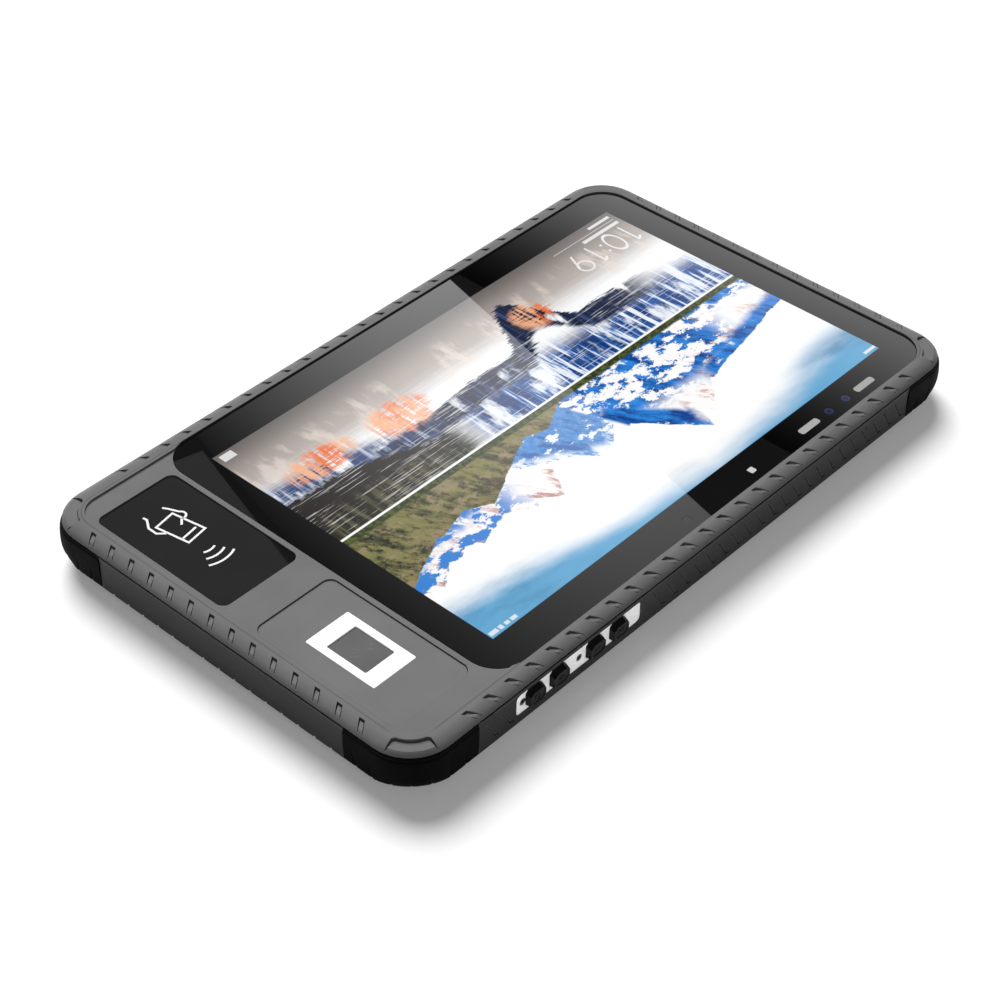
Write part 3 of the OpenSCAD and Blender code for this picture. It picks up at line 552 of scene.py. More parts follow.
@dataclass(frozen=True)
class CircuitBoard:
    """Green solder mask with fine copper tracks."""

    name: str
    colour: Colour = rgb("0f5a2c")

    def material(self) -> bpy.types.Material:
        """Builds the material."""
        g = Graph(self.name)
        x, y, z = g.axes()
        sway = g.noise(0.2, 1.0, 0.5)
        across = abs((x + 3.0 * sway).wrapped(1.2)).below(0.18)
        along = abs((y + z + 4.0 * sway).wrapped(1.7)).below(0.2)
        tracks = across.most(along) * g.noise(0.12, 1.0, 0.5, seed=3.0).ramp(0.45, 0.55)
        base = g.blend(self.colour, tuple(c * 1.9 + 0.02 for c in self.colour), tracks)
        base = base.mixed(tuple(c * 0.6 for c in self.colour), g.noise(0.4, 3.0, 0.6).ramp(0.5, 0.8) * 0.5)
        shine = 0.42 - 0.12 * tracks
        return g.finish({"Base Color": base, "Roughness": shine, "Normal": g.bump(tracks, 0.02)})


# ------------------------------------------------------------------ screen picture


@dataclass(frozen=True)
class Peak:
    """One peak of a skyline: a tent with its own slope on each side."""

    at: float
    top: float
    left: float
    right: float

    def height(self, x: Term) -> Term:
        """Height of the tent over a place along the skyline."""
        return self.top - ((self.at - x) * self.left).most((x - self.at) * self.right)


@dataclass(frozen=True)
class Landscape:
    """Snowy mountains over a still lake, as a home-screen picture.

    Lengths are millimetres from the screen's centre. lit_rock gives orange patches in the water:
    their place across, depth, half width and half height.
    """

    shore: float = -1.6
    far_range: tuple[Peak, ...] = (
        Peak(30.0, 31.5, 1.6, 0.9),
        Peak(38.5, 29.0, 1.2, 0.55),
        Peak(60.0, 28.5, 0.35, 0.6),
        Peak(70.0, 28.5, 0.5, 0.6),
        Peak(80.5, 33.5, 0.8, 0.5),
    )
    blue_peak: tuple[Peak, ...] = (Peak(10.0, 27.5, 1.6, 0.86), Peak(4.5, 27.5, 0.85, 0.5))
    main_peak: tuple[Peak, ...] = (
        Peak(-23.0, 42.5, 2.4, 1.15),
        Peak(-30.0, 38.5, 1.15, 1.0),
        Peak(-41.0, 27.5, 0.2, 0.5),
        Peak(-3.0, 26.0, 0.5, 1.6),
        Peak(-66.0, 21.5, 0.2, 0.3),
    )
    hills: tuple[Peak, ...] = (
        Peak(11.0, 8.5, 0.55, 0.3),
        Peak(46.0, 19.5, 0.5, 0.55),
        Peak(88.0, 28.0, 0.5, 0.4),
        Peak(66.0, 18.5, 0.3, 0.3),
    )

    lit_rock: tuple[tuple[float, float, float, float], ...] = (
        (-27.0, 32.0, 7.5, 7.0),
        (36.0, 27.0, 12.0, 8.0),
        (66.0, 29.0, 14.0, 6.0),
    )

    @staticmethod
    def skyline(peaks: Iterable[Peak], x: Term) -> Term:
        """Highest tent over each place along the skyline."""
        made: Term | None = None
        for peak in peaks:
            made = peak.height(x) if made is None else made.most(peak.height(x))
        return made

    def sky(self, g: Graph, x: Term, y: Term) -> Tint:
        """Paints a white sky with blue at the top, most of it on the left."""
        cloud = g.noise(0.028, 5.0, 0.55, g.vector(x * 0.55 - y * 0.5, y * 1.7 + x * 0.3), 4.0)
        blue = (y + 16.0 * (cloud - 0.5) + 0.12 * abs(x + 10.0)).ramp(47.0, 58.0)
        bank = (y - 0.42 * x + 14.0 * (cloud - 0.5)).ramp(64.0, 74.0) * y.ramp(34.0, 44.0)
        sky = g.blend(rgb("ffffff"), rgb("5fa5d0"), blue.most(bank * 0.7))
        return sky.mixed(rgb("2f6f98"), blue * cloud.ramp(0.48, 0.66) * 0.7)

    def land(self, g: Graph, x: Term, y: Term) -> Tint:
        """Paints sky, snow and hills.

        Args:
            g: The material's graph.
            x: Place across the picture.
            y: Height above the shore line.

        Returns:
            The colour there.
        """
        spot = g.vector(x, y)
        rough = g.noise(0.2, 6.0, 0.62, spot, 1.0) - 0.5
        fine = g.noise(0.55, 5.0, 0.65, spot, 2.0)
        slant = g.noise(0.12, 7.0, 0.68, g.vector(x + y * 0.9, y * 1.5 - x * 0.55), 3.0)
        down = g.noise(0.25, 6.0, 0.7, g.vector(x * 1.2 + y * 0.55, y * 0.45), 9.0)
        picture = self.sky(g, x, y)
        # far range: pink and white on its left, blue on its right
        edge = self.skyline(self.far_range, x) + 4.5 * rough
        deep = edge - y
        snow = g.blend(rgb("fdfaf9"), rgb("c08f84"), down.ramp(0.47, 0.56) * deep.ramp(9.0, 1.0))
        blue = slant.ramp(0.48, 0.53).most(deep.ramp(5.0, 11.0) * down.ramp(0.56, 0.48))
        blue = blue * (x - 34.0).ramp(-2.0, 14.0)
        snow = snow.mixed(rgb("2f80d2"), blue)
        picture = picture.mixed(snow, deep.ramp(-0.2, 0.25))
        # blue pyramid with snow gullies
        edge = self.skyline(self.blue_peak, x) + 3.2 * rough
        deep = edge - y
        face = g.blend(rgb("3d84cc"), rgb("5f9bd4"), fine.ramp(0.4, 0.65))
        face = face.mixed(rgb("2058a4"), down.ramp(0.5, 0.6) * 0.8)
        gully = slant.ramp(0.545, 0.585).most(deep.ramp(5.0, 0.5) * down.ramp(0.42, 0.5))
        face = face.mixed(rgb("eef4fc"), gully)
        picture = picture.mixed(face, deep.ramp(-0.2, 0.25))
        # main mountain: a rock band under its left ridge, snowfields below, a blue right face
        edge = self.skyline(self.main_peak, x) + 3.6 * rough
        deep = edge - y
        right = (x + 22.0 + 8.0 * (slant - 0.5)).ramp(-4.0, 1.0)
        rock = g.blend(rgb("2b86dd"), rgb("0d3f8c"), down.ramp(0.4, 0.62))
        rock = rock.mixed(rgb("4b86cf"), fine.ramp(0.58, 0.7) * 0.8)
        ledge = deep.ramp(5.2 + 2.0, 3.0) * (x + 42.0).ramp(6.0, -2.0)
        crest = deep.ramp(13.0, 9.0) * right * (x + 2.0).ramp(2.0, -4.0)
        patch = slant.ramp(0.47, 0.51) * y.ramp(29.0, 20.0) * (x + 62.0).ramp(-8.0, 6.0)
        low = slant.ramp(0.5, 0.54) * y.ramp(9.0, 4.0)
        blush = down.ramp(0.5, 0.6) * deep.ramp(14.0, 2.0) * (1.0 - right)
        warm = g.blend(rgb("fefdfc"), rgb("cf9c8c"), blush)
        bare = ledge.most(crest).most(patch).most(low) * down.ramp(0.3, 0.38).most(deep.ramp(4.0, 1.0))
        bare = bare * (1.0 - slant.ramp(0.42, 0.36) * 0.9)
        mountain = warm.mixed(rock, bare)
        picture = picture.mixed(mountain, deep.ramp(-0.2, 0.25) * (x - 2.6 + 0.35 * y).ramp(0.8, -0.8))
        # hills: olive grass over brown rock, darker in its folds
        edge = self.skyline(self.hills, x) + 2.6 * rough
        deep = edge - y
        meadow = g.blend(rgb("85804f"), rgb("45462b"), down.ramp(0.42, 0.58))
        meadow = meadow.mixed(rgb("9a8a6c"), slant.ramp(0.5, 0.6) * 0.8)
        meadow = meadow.mixed(rgb("8c5d4c"), fine.ramp(0.52, 0.62) * deep.ramp(7.0, 1.0) * 0.8)
        fold = (down * fine * 4.0).ramp(1.0, 1.35) * (0.55 + 0.45 * x.ramp(40.0, 80.0))
        meadow = meadow.mixed(rgb("23241a"), fold)
        picture = picture.mixed(meadow, deep.ramp(-0.2, 0.25))
        bank = (y - 1.2 * fine - 0.5 * rough).ramp(2.2, 1.4)
        return picture.mixed(g.blend(rgb("2c3518"), rgb("55602c"), fine.ramp(0.45, 0.6)), bank)

    def lake(self, g: Graph, x: Term, y: Term) -> Tint:
        """Paints the water: bright, with the land's tones hanging in it and a grey foreground.

        Args:
            g: The material's graph.
            x: Place across the picture.
            y: Height above the shore line, which is negative.

        Returns:
            The colour there.
        """
        deep = -1.0 * y
        ripple = g.noise(0.6, 5.0, 0.65, g.vector(x * 0.1, y * 2.4), 6.0) - 0.5
        jag = g.noise(0.8, 4.0, 0.7, g.vector(x * 0.22, y * 1.9), 11.0) - 0.5
        streak = g.noise(0.3, 5.0, 0.6, g.vector(x * 1.5, y * 0.12), 7.0)
        veil = g.noise(0.09, 5.0, 0.6, g.vector(x * 1.3, y * 0.5), 12.0)
        sway = x + 6.0 * ripple + 5.0 * jag
        # bright foreground that turns to grey sand
        water = g.blend(rgb("fcfdfe"), rgb("b3aaa4"), (deep + 6.0 * ripple).ramp(24.0, 38.0))
        water = water.mixed(rgb("67625f"), deep.ramp(36.0, 54.0))
        sand = veil.ramp(0.5, 0.6) * deep.ramp(24.0, 32.0) * deep.ramp(46.0, 38.0) * 0.6
        water = water.mixed(rgb("e9dcd2"), sand)
        # blue faces drawn down as streaks
        fall = (deep + 9.0 * (streak - 0.5) + 5.0 * jag).ramp(22.0, 12.0) * sway.ramp(32.0, 18.0)
        face = g.blend(rgb("2f74c6"), rgb("12366f"), streak.ramp(0.42, 0.6))
        face = face.mixed(rgb("f4f8fd"), streak.ramp(0.5, 0.42).most(veil.ramp(0.52, 0.62)) * 0.92)
        water = water.mixed(face, fall)
        # dark mirrored ridge, lowest under the main peak
        tip = (23.0 + 20.0 * abs(sway + 23.0).ramp(16.0, 0.0)) - 2.5 * abs(sway + 23.0).ramp(30.0, 60.0)
        band = self.band(deep + 7.0 * jag, tip)
        ridge = band * (sway + 75.0).ramp(-2.0, 22.0) * veil.ramp(0.33, 0.42)
        water = water.mixed(g.blend(rgb("182340"), rgb("3b4a74"), streak.ramp(0.5, 0.62)), ridge)
        # hills hanging on the right
        edge = 13.0 + 9.0 * sway.ramp(34.0, 70.0) + 5.0 * ripple + 8.0 * (streak - 0.5)
        hang = (deep - edge).ramp(1.0, -1.0) * sway.ramp(22.0, 34.0)
        hills = g.blend(rgb("24241a"), rgb("5e5a44"), streak.ramp(0.45, 0.62))
        water = water.mixed(hills.mixed(rgb("26211f"), deep.ramp(5.0, 15.0)), hang)
        under = (deep - edge).ramp(-1.0, 1.0) * (deep - edge).ramp(11.0, 5.0) * sway.ramp(26.0, 40.0)
        shade = g.blend(rgb("344a78"), rgb("b9c3d6"), streak.ramp(0.48, 0.6))
        water = water.mixed(shade, under * veil.ramp(0.4, 0.5))
        for middle, depth, wide, tall in self.lit_rock:
            across, down = (sway - middle) / wide, (deep - depth) / tall
            gap = across * across + down * down
            glow = gap.ramp(1.3, 0.4) * (streak + 0.6 * jag).ramp(0.4, 0.52)
            water = water.mixed(g.blend(rgb("e8702c"), rgb("f3b48c"), veil.ramp(0.45, 0.58)), glow * 0.95)
        glint = g.noise(1.1, 3.0, 0.6, g.vector(x * 0.07, y * 1.9), 15.0).ramp(0.56, 0.62)
        water = water.mixed(rgb("ffffff"), glint * deep.ramp(30.0, 22.0) * 0.45)
        return water.mixed(rgb("fdfefe"), deep.ramp(1.0, 0.6))

    @staticmethod
    def band(depth: Term, tip: Term) -> Term:
        """A band that ends at the tip's depth and starts a little above it."""
        return (depth - tip).ramp(0.6, -0.6) * (depth - tip * 0.62).ramp(-2.0, 1.0)

    def paint(self, g: Graph, x: Term, y: Term) -> Tint:
        """Paints the whole picture.

        Args:
            g: The material's graph.
            x: Place across the picture.
            y: Place up the picture, from its middle.

        Returns:
            The colour there.
        """
        height = y - self.shore
        picture = self.land(g, x, height).mixed(self.lake(g, x, height), height.ramp(0.15, -0.15))
        return picture


@dataclass(frozen=True)
class ClockFace:
    """Thin light clock digits and the plain marks of a home screen.

    Lengths are millimetres from the screen's centre.
    """

    digits: str = "10:19"
    left: float = -84.5
    foot: float = -45.5
    height: float = 9.4
    width: float = 5.4
    gap: float = 1.4
    stroke: float = 0.42
    bars: tuple[tuple[float, float, float, float], ...] = (
        (-76.0, -47.6, 8.5, 0.7),
        (-70.0, -49.6, 14.5, 0.1),
        (-79.5, -51.6, 5.0, 0.6),
        (-83.5, 52.3, 2.6, 0.55),
        (0.5, 46.3, 5.0, 0.6),
        (76.4, 52.3, 1.1, 0.65),
        (79.0, 52.3, 0.8, 0.6),
        (81.4, 52.3, 0.7, 0.75),
        (84.2, 52.3, 1.5, 0.75),
        (82.3, -51.4, 2.3, 1.5),
    )

    @staticmethod
    def bar(x: Term, y: Term, middle: tuple[float, float], half: tuple[float, float]) -> Term:
        """A filled bar.

        Args:
            x: Place across.
            y: Place up.
            middle: The bar's middle.
            half: Half its length and height.

        Returns:
            1 inside the bar and 0 outside.
        """
        return (abs(x - middle[0]) - half[0]).most(abs(y - middle[1]) - half[1]).ramp(0.12, -0.12)

    def ring(self, x: Term, y: Term, middle: tuple[float, float], half: tuple[float, float]) -> Term:
        """An oval outline of the stroke's width."""
        across, up = (x - middle[0]) / half[0], (y - middle[1]) / half[1]
        away = ((across * across + up * up).root() - 1.0) * min(half)
        return abs(away).ramp(self.stroke, self.stroke * 0.5)

    def digit(self, shape: str, x: Term, y: Term, start: float) -> Term:
        """One digit, or the colon.

        Args:
            shape: The character.
            x: Place across.
            y: Place up.
            start: The digit's left edge.

        Returns:
            1 on its strokes and 0 elsewhere.
        """
        half_w, half_h, thin = self.width / 2, self.height / 2, self.stroke * 0.75
        middle = (start + half_w, self.foot + half_h)
        if shape == "0":
            return self.ring(x, y, middle, (half_w, half_h))
        if shape == ":":
            upper = self.bar(x, y, (start + 0.6, middle[1] + 2.0), (0.45, 0.45))
            return upper.most(self.bar(x, y, (start + 0.6, middle[1] - 2.0), (0.45, 0.45)))
        if shape == "1":
            stem = self.bar(x, y, (start + half_w, middle[1]), (thin, half_h))
            slope = (x - start - half_w) - (y - self.foot - self.height) * 1.3
            tip = (start + half_w - 1.0, middle[1] + 3.9)
            flag = abs(slope).ramp(0.9, 0.5) * self.bar(x, y, tip, (1.0, 0.8))
            return stem.most(flag)
        head = self.ring(x, y, (middle[0], self.foot + self.height - half_w), (half_w, half_w))
        tail = abs((x - start - self.width + 0.4) - (y - self.foot - 6.0) * 0.42).ramp(0.5, 0.3)
        tail = tail * self.bar(x, y, (middle[0] + 0.6, self.foot + 3.2), (2.4, 3.2))
        return head.most(tail)

    def mask(self, x: Term, y: Term) -> Term:
        """Share of light print over the picture."""
        made: Term | None = None
        start = self.left
        for shape in self.digits:
            drawn = self.digit(shape, x, y, start)
            made = drawn if made is None else made.most(drawn)
            start += self.gap + (1.4 if shape == ":" else self.width)
        for across, up, half_l, half_h in self.bars:
            made = made.most(0.9 * self.bar(x, y, (across, up), (half_l, half_h)))
        return made


@dataclass(frozen=True)
class ScreenGlass:
    """Cover glass: black print at the border and the lit picture behind the middle."""

    name: str
    centre: tuple[float, float]
    half_length: float = 86.15
    half_width: float = 53.85
    brightness: float = 1.0
    picture: Landscape = field(default_factory=Landscape)
    clock: ClockFace = field(default_factory=ClockFace)

    def material(self) -> bpy.types.Material:
        """Builds the material."""
        g = Graph(self.name)
        x, y, _ = g.axes((*self.centre, 0.0))
        inside = (abs(x) - self.half_length).most(abs(y) - self.half_width).ramp(0.12, -0.12)
        picture = self.picture.paint(g, x, y).mixed(rgb("f2f2f2"), self.clock.mask(x, y) * 0.85)
        smear = g.noise(0.03, 4.0, 0.6, seed=3.0)
        glow = g.blend((0.0, 0.0, 0.0), picture, inside)
        base = g.blend(rgb("030304"), rgb("060607"), smear.ramp(0.3, 0.7))
        return g.finish(
            {
                "Base Color": base,
                "Roughness": 0.008 + 0.012 * smear.ramp(0.5, 0.8),
                "Specular IOR Level": 0.5,
                "Emission Color": glow,
                "Emission Strength": self.brightness,
            }
        )


# ------------------------------------------------------------------ studio


@dataclass(frozen=True)
class Lamp:
    """One large far studio light that looks at the tablet; gloss doesn't show it."""

    name: str
    place: tuple[float, float, float]
    spread_deg: float
    strength: float

    def build(self) -> bpy.types.Object:
        """Makes the light.

        Returns:
            The light's object.
        """
        data = bpy.data.lights.new(self.name, "SUN")
        data.angle = math.radians(self.spread_deg)
        data.energy = self.strength
        lamp = bpy.data.objects.new(self.name, data)
        bpy.context.scene.collection.objects.link(lamp)
        lamp.location = Vector(self.place) * MM
        lamp.rotation_mode = "QUATERNION"
        lamp.rotation_quaternion = (-Vector(self.place)).to_track_quat("-Z", "Y")
        lamp.visible_glossy = False
        return lamp


@dataclass(frozen=True)
class Softbox:
    """Lit panel that only glossy surfaces see; it fades from its bright edge to its far edge."""

    name: str
    corner: tuple[float, float, float]
    along: tuple[float, float, float]
    across: tuple[float, float, float]
    brightness: float
    fade_power: float = 1.0
    near_share: float = 1.0

    def build(self) -> bpy.types.Object:
        """Makes the panel from its bright edge, given by a corner and two sides.

        Returns:
            The panel's object.
        """
        mesh = bpy.data.meshes.new(self.name)
        bm = bmesh.new()
        bmesh.ops.create_grid(bm, x_segments=1, y_segments=1, size=0.5)
        bmesh.ops.translate(bm, verts=bm.verts, vec=(0.5, 0.5, 0.0))
        side, fade = Vector(self.along) * MM, Vector(self.across) * MM
        turn = Matrix((side, fade, side.cross(fade))).transposed().to_4x4()
        start = Matrix.Translation(Vector(self.corner) * MM)
        bmesh.ops.transform(bm, verts=bm.verts, matrix=start @ turn)
        bm.to_mesh(mesh)
        bm.free()
        panel = bpy.data.objects.new(self.name, mesh)
        bpy.context.scene.collection.objects.link(panel)
        g = Graph(self.name)
        x, y, z = g.axes(self.corner)
        solve = Matrix((side, fade, side.cross(fade))).transposed().inverted() * MM
        length = x * solve[0][0] + y * solve[0][1] + z * solve[0][2]
        share = x * solve[1][0] + y * solve[1][1] + z * solve[1][2]
        end = self.near_share + (1.0 - self.near_share) * length
        strength = self.brightness * end * share.ramp(1.15, 0.0) ** self.fade_power
        glow = g.node("Emission", None, {"Color": (1.0, 1.0, 1.0), "Strength": strength})
        g.node("OutputMaterial", None, {"Surface": glow.outputs[0]})
        mesh.materials.append(g.material)
        panel.visible_camera = panel.visible_diffuse = panel.visible_shadow = False
        return panel


@dataclass
class Studio:
    """Floor, lights and camera."""

    camera_place: tuple[float, float, float] = (392.8, 344.0, 434.1)
    camera_target: tuple[float, float, float] = (28.06, 18.09, 16.0)
    camera_roll_deg: float = 0.805
    camera_lens: float = 83.408
    sensor: float = 36.0
    floor_half: float = 3000.0
    world_light: float = 0.1
    floor_glow: float = 0.2
    softboxes: tuple[Softbox, ...] = (
        Softbox(
            "side_softbox", (-577.5, -325.0, 616.0), (-83.5, -329.0, 0.0), (258.0, 0.0, 0.0), 3.3, 1.0, 0.4
        ),
        Softbox("end_softbox", (-890.0, -300.0, 616.0), (0.0, -400.0, 0.0), (220.0, 0.0, 0.0), 2.6, 1.8, 0.9),
        Softbox(
            "pad_softbox", (-394.0, -636.0, 616.0), (60.0, 192.0, 0.0), (240.0, -60.0, 0.0), 0.42, 0.25, 1.0
        ),
    )
    lamps: tuple[Lamp, ...] = (
        Lamp("key_light", (-420.0, -680.0, 760.0), 40.0, 4.6),
        Lamp("fill_light", (500.0, 700.0, 500.0), 60.0, 0.35),
    )

    def build(self) -> None:
        """Makes the whole studio."""
        scene = bpy.context.scene
        scene.view_settings.view_transform = "Standard"
        self.build_floor()
        for lamp in self.lamps:
            lamp.build()
        for panel in self.softboxes:
            panel.build()
        self.build_world()
        self.build_camera()

    def build_floor(self) -> None:
        """Makes the pale floor that the tablet lies on."""
        mesh = bpy.data.meshes.new("floor")
        bm = bmesh.new()
        bmesh.ops.create_grid(bm, x_segments=4, y_segments=4, size=self.floor_half * MM)
        bmesh.ops.translate(bm, verts=bm.verts, vec=(0, 0, -0.02 * MM))
        bm.to_mesh(mesh)
        bm.free()
        floor = bpy.data.objects.new("floor", mesh)
        bpy.context.scene.collection.objects.link(floor)
        g = Graph("floor_paper")
        fibre = g.noise(1.5, 3.0, 0.6)
        base = g.blend((0.86, 0.86, 0.86), (0.9, 0.9, 0.9), fibre.ramp(0.3, 0.7))
        surface = {"Base Color": base, "Roughness": 0.9, "Specular IOR Level": 0.1, "Emission Color": base}
        mesh.materials.append(g.finish({**surface, "Emission Strength": self.floor_glow}))

    def build_world(self) -> None:
        """Sets the dim light that comes from all round."""
        world = bpy.data.worlds.new("studio")
        world.use_nodes = True
        world.node_tree.nodes["Background"].inputs["Color"].default_value = (1.0, 1.0, 1.0, 1.0)
        world.node_tree.nodes["Background"].inputs["Strength"].default_value = self.world_light
        bpy.context.scene.world = world

    def build_camera(self) -> None:
        """Places the camera and makes it the scene's own."""
        data = bpy.data.cameras.new("camera")
        data.lens, data.sensor_width = self.camera_lens, self.sensor
        data.clip_start, data.clip_end = 0.01, 20.0
        camera = bpy.data.objects.new("camera", data)
        bpy.context.scene.collection.objects.link(camera)
        forward = (Vector(self.camera_target) - Vector(self.camera_place)).normalized()
        level = forward.cross(Vector((0, 0, 1))).normalized()
        upright = level.cross(forward)
        roll = math.radians(self.camera_roll_deg)
        right = level * math.cos(roll) + upright * math.sin(roll)
        up = right.cross(forward)
        turn = Matrix((right, up, -forward)).transposed()
        camera.matrix_world = Matrix.Translation(Vector(self.camera_place) * MM) @ turn.to_4x4()
        bpy.context.scene.camera = camera


# ------------------------------------------------------------------ tablet


class Slot(Enum):
    """Material slot names that are passed along with new pieces."""

    BUMPER = "bumper_rubber"
    KEY = "key_rubber"
    WHITE = "white_plastic"


class Corner(Enum):
    """A corner of the tablet, with its direction along X and Y."""

    KEY_CARD = (1, 1)
    KEY_PORT = (-1, 1)
    DOCK_PORT = (-1, -1)
    DOCK_CARD = (1, -1)

    @property
    def node(self) -> str:
        """Name of the corner's bumper in the CAD model."""
        return f"bumper_{self.name.lower()}"


class KeyMark(Enum):
    """What is moulded on a key, with the key's CAD node."""

    POWER = "key_power"
    LOUDER = "key_volume_up"
    SOFTER = "key_volume_down"
    SCAN = "key_scan"


def corners_of(geometry: Iterable[Any]) -> list[bmesh.types.BMVert]:
    """Vertices among the pieces of a mesh."""
    return [piece for piece in geometry if isinstance(piece, bmesh.types.BMVert)]


def edges_of(geometry: Iterable[Any]) -> list[bmesh.types.BMEdge]:
    """Edges among the pieces of a mesh."""
    return [piece for piece in geometry if isinstance(piece, bmesh.types.BMEdge)]


def edges_mm(node: str) -> tuple[Vector, Vector]:
    """Lowest and highest corner of a CAD node, in millimetres."""
    low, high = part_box(node)
    return Vector(low) / MM, Vector(high) / MM


def dress(nodes: Iterable[str], material: bpy.types.Material) -> None:
    """Gives CAD nodes a material.

    Args:
        nodes: Names of the nodes.
        material: Their material.
    """
    for name in nodes:
        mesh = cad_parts[name].data
        mesh.materials.clear()
        mesh.materials.append(material)
    log.info("%s on %s", material.name, ", ".join(nodes))


@dataclass
class SubAssembly:
    """A group of pieces that is built and dressed together."""

    def add(
        self, name: str, bm: bmesh.types.BMesh, material: bpy.types.Material, body: str, slot: Slot
    ) -> bpy.types.Object:
        """Turns a mesh in millimetres into a piece that rides on a body.

        Args:
            name: The piece's name.
            bm: Its mesh, in millimetres, which is used up.
            material: Its material.
            body: The body that it rides on.
            slot: Not used.

        Returns:
            The new object.
        """
        bmesh.ops.remove_doubles(bm, verts=bm.verts, dist=0.0005)
        bmesh.ops.recalc_face_normals(bm, faces=bm.faces)
        bmesh.ops.scale(bm, vec=(MM, MM, MM), verts=bm.verts)
        mesh = bpy.data.meshes.new(name)
        bm.to_mesh(mesh)
        bm.free()
        mesh.shade_smooth()
        mesh.set_sharp_from_angle(angle=math.radians(38))
        mesh.materials.append(material)
        made = bpy.data.objects.new(name, mesh)
        bpy.context.scene.collection.objects.link(made)
        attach(made, body)
        log.info("%s: %d faces on %s", name, len(mesh.polygons), body)
        return made


@dataclass
class Bumpers(SubAssembly):
    """Four rubber corner bumpers with a lip under their top and short grooves at their foot."""

    corner_r: float = 13.5
    skin: float = 1.9
    bulge: float = 0.75
    tuck: float = 1.4
    clear: float = 0.02
    lip: tuple[Spot, ...] = ((0.24, 1.0), (0.08, 0.86), (0.16, 0.72), (0.12, 0.3), (-0.05, 0.06))
    rib_pitch: float = 5.6
    rib_depth: float = 0.32
    rib_w: float = 0.34
    arc_steps: int = 84
    leg_steps: int = 40

    def section(self, foot: float, top: float) -> list[tuple[float, float]]:
        """Outline of a straight stretch, from the inner foot round to the inner top.

        Args:
            foot: Height of the foot.
            top: Height of the top.

        Returns:
            Points as distance out from the tablet's outline, and height.
        """
        rise = top - foot
        face = [(0.36 * math.sin(math.pi * min(1.0, t * 1.6) / 2), foot + rise * t)
                for t in (0.03, 0.09, 0.15, 0.21, 0.27, 0.33, 0.39, 0.46, 0.55, 0.64, 0.73, 0.8, 0.86)]
        lip = [(out, top - below) for out, below in self.lip]
        inner = [(-self.skin, foot + self.clear), (-0.3, foot + self.clear)]
        return [*inner, *face, *lip, (-0.4, top - self.clear), (-self.skin, top - self.clear)]

    def sweep(self, foot: float, top: float, leg: float) -> bmesh.types.BMesh:
        """Carries the section along one leg, round the corner and along the other leg.

        Args:
            foot: Height of the foot.
            top: Height of the top.
            leg: Length of each straight leg.

        Returns:
            The swept mesh, about the corner arc's centre.
        """
        bm = bmesh.new()
        points = [bm.verts.new((self.corner_r + out, 0.0, z)) for out, z in self.section(foot, top)]
        loop = [bm.edges.new((a, b)) for a, b in zip(points, points[1:] + points[:1])]
        start = list(loop)
        made = bmesh.ops.spin(
            bm, geom=points + loop, cent=(0, 0, 0), axis=(0, 0, 1), dvec=(0, 0, 0),
            angle=math.pi / 2, steps=self.arc_steps, use_merge=False, use_duplicate=False,
        )
        last = edges_of(made["geom_last"])
        stride = leg / self.leg_steps
        for ends, step in ((start, (0.0, -stride, 0.0)), (last, (-stride, 0.0, 0.0))):
            edge_loop = ends
            for _ in range(self.leg_steps):
                grown = bmesh.ops.extrude_edge_only(bm, edges=edge_loop)["geom"]
                bmesh.ops.translate(bm, verts=corners_of(grown), vec=step)
                edge_loop = [edge for edge in edges_of(grown) if edge.is_boundary]
            bmesh.ops.contextual_create(bm, geom=edge_loop)
        return bm

    def shape(self, bm: bmesh.types.BMesh, foot: float, top: float) -> None:
        """Fills out the corner, tucks its foot in and presses the ribs' grooves.

        Args:
            bm: The swept mesh.
            foot: Height of the foot.
            top: Height of the top.
        """
        rise = top - foot
        for vert in bm.verts:
            x, y, z = vert.co
            angle = min(max(math.atan2(y, x), 0.0), math.pi / 2)
            turn = math.sin(2 * angle)
            radius = x if y < 0 else (y if x < 0 else math.hypot(x, y))
            out = radius - self.corner_r
            if out < -self.skin + 0.1:
                continue
            height = (z - foot) / rise
            full = math.sin(math.pi * min(max(height * 1.05, 0.0), 1.0)) ** 0.6
            push = self.bulge * turn * full - self.tuck * turn * max(0.0, 1.0 - height / 0.3) ** 1.5
            along = (-y if y < 0 else 0.0) - (-x if x < 0 else 0.0) + (math.pi / 4 - angle) * self.corner_r
            groove = abs((along - 0.5 * self.rib_pitch - 2.2 * height) % self.rib_pitch - self.rib_pitch / 2)
            dent = math.exp(-((groove / self.rib_w) ** 2)) * max(0.0, 1.0 - abs(height - 0.2) / 0.24) ** 0.5
            if out > -0.35:
                push -= self.rib_depth * dent
            direction = Vector((math.cos(angle), math.sin(angle), 0.0))
            vert.co += direction * push

    def build(self) -> None:
        """Makes the four bumpers in place of the CAD model's."""
        rubber = MouldedPlastic("bumper_rubber", rgb("040404"), 0.7, edge_wear_and_highlight=1.5, specular=0.06).material()
        for corner in Corner:
            low, high = edges_mm(corner.node)
            size_x, size_y = corner.value
            inner = Vector((low.x if size_x > 0 else -high.x, low.y if size_y > 0 else -high.y, 0.0))
            reach = self.outline() - inner
            bm = self.sweep(low.z, high.z, reach.x - self.corner_r)
            self.shape(bm, low.z, high.z)
            middle = self.outline() - Vector((self.corner_r, self.corner_r, 0.0))
            bmesh.ops.translate(bm, verts=bm.verts, vec=middle)
            bmesh.ops.scale(bm, vec=(size_x, size_y, 1.0), verts=bm.verts)
            piece = self.add(f"corner_{corner.name.lower()}", bm, rubber, ROOT, Slot.BUMPER)
            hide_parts(corner.node)

    def outline(self) -> Vector:
        """Corner of the square round the tablet's outline, in millimetres."""
        _, key_panel = edges_mm("side_panel_keys")
        _, card_panel = edges_mm("side_panel_card")
        return Vector((card_panel.x - 0.3, key_panel.y - 0.3, 0.0))


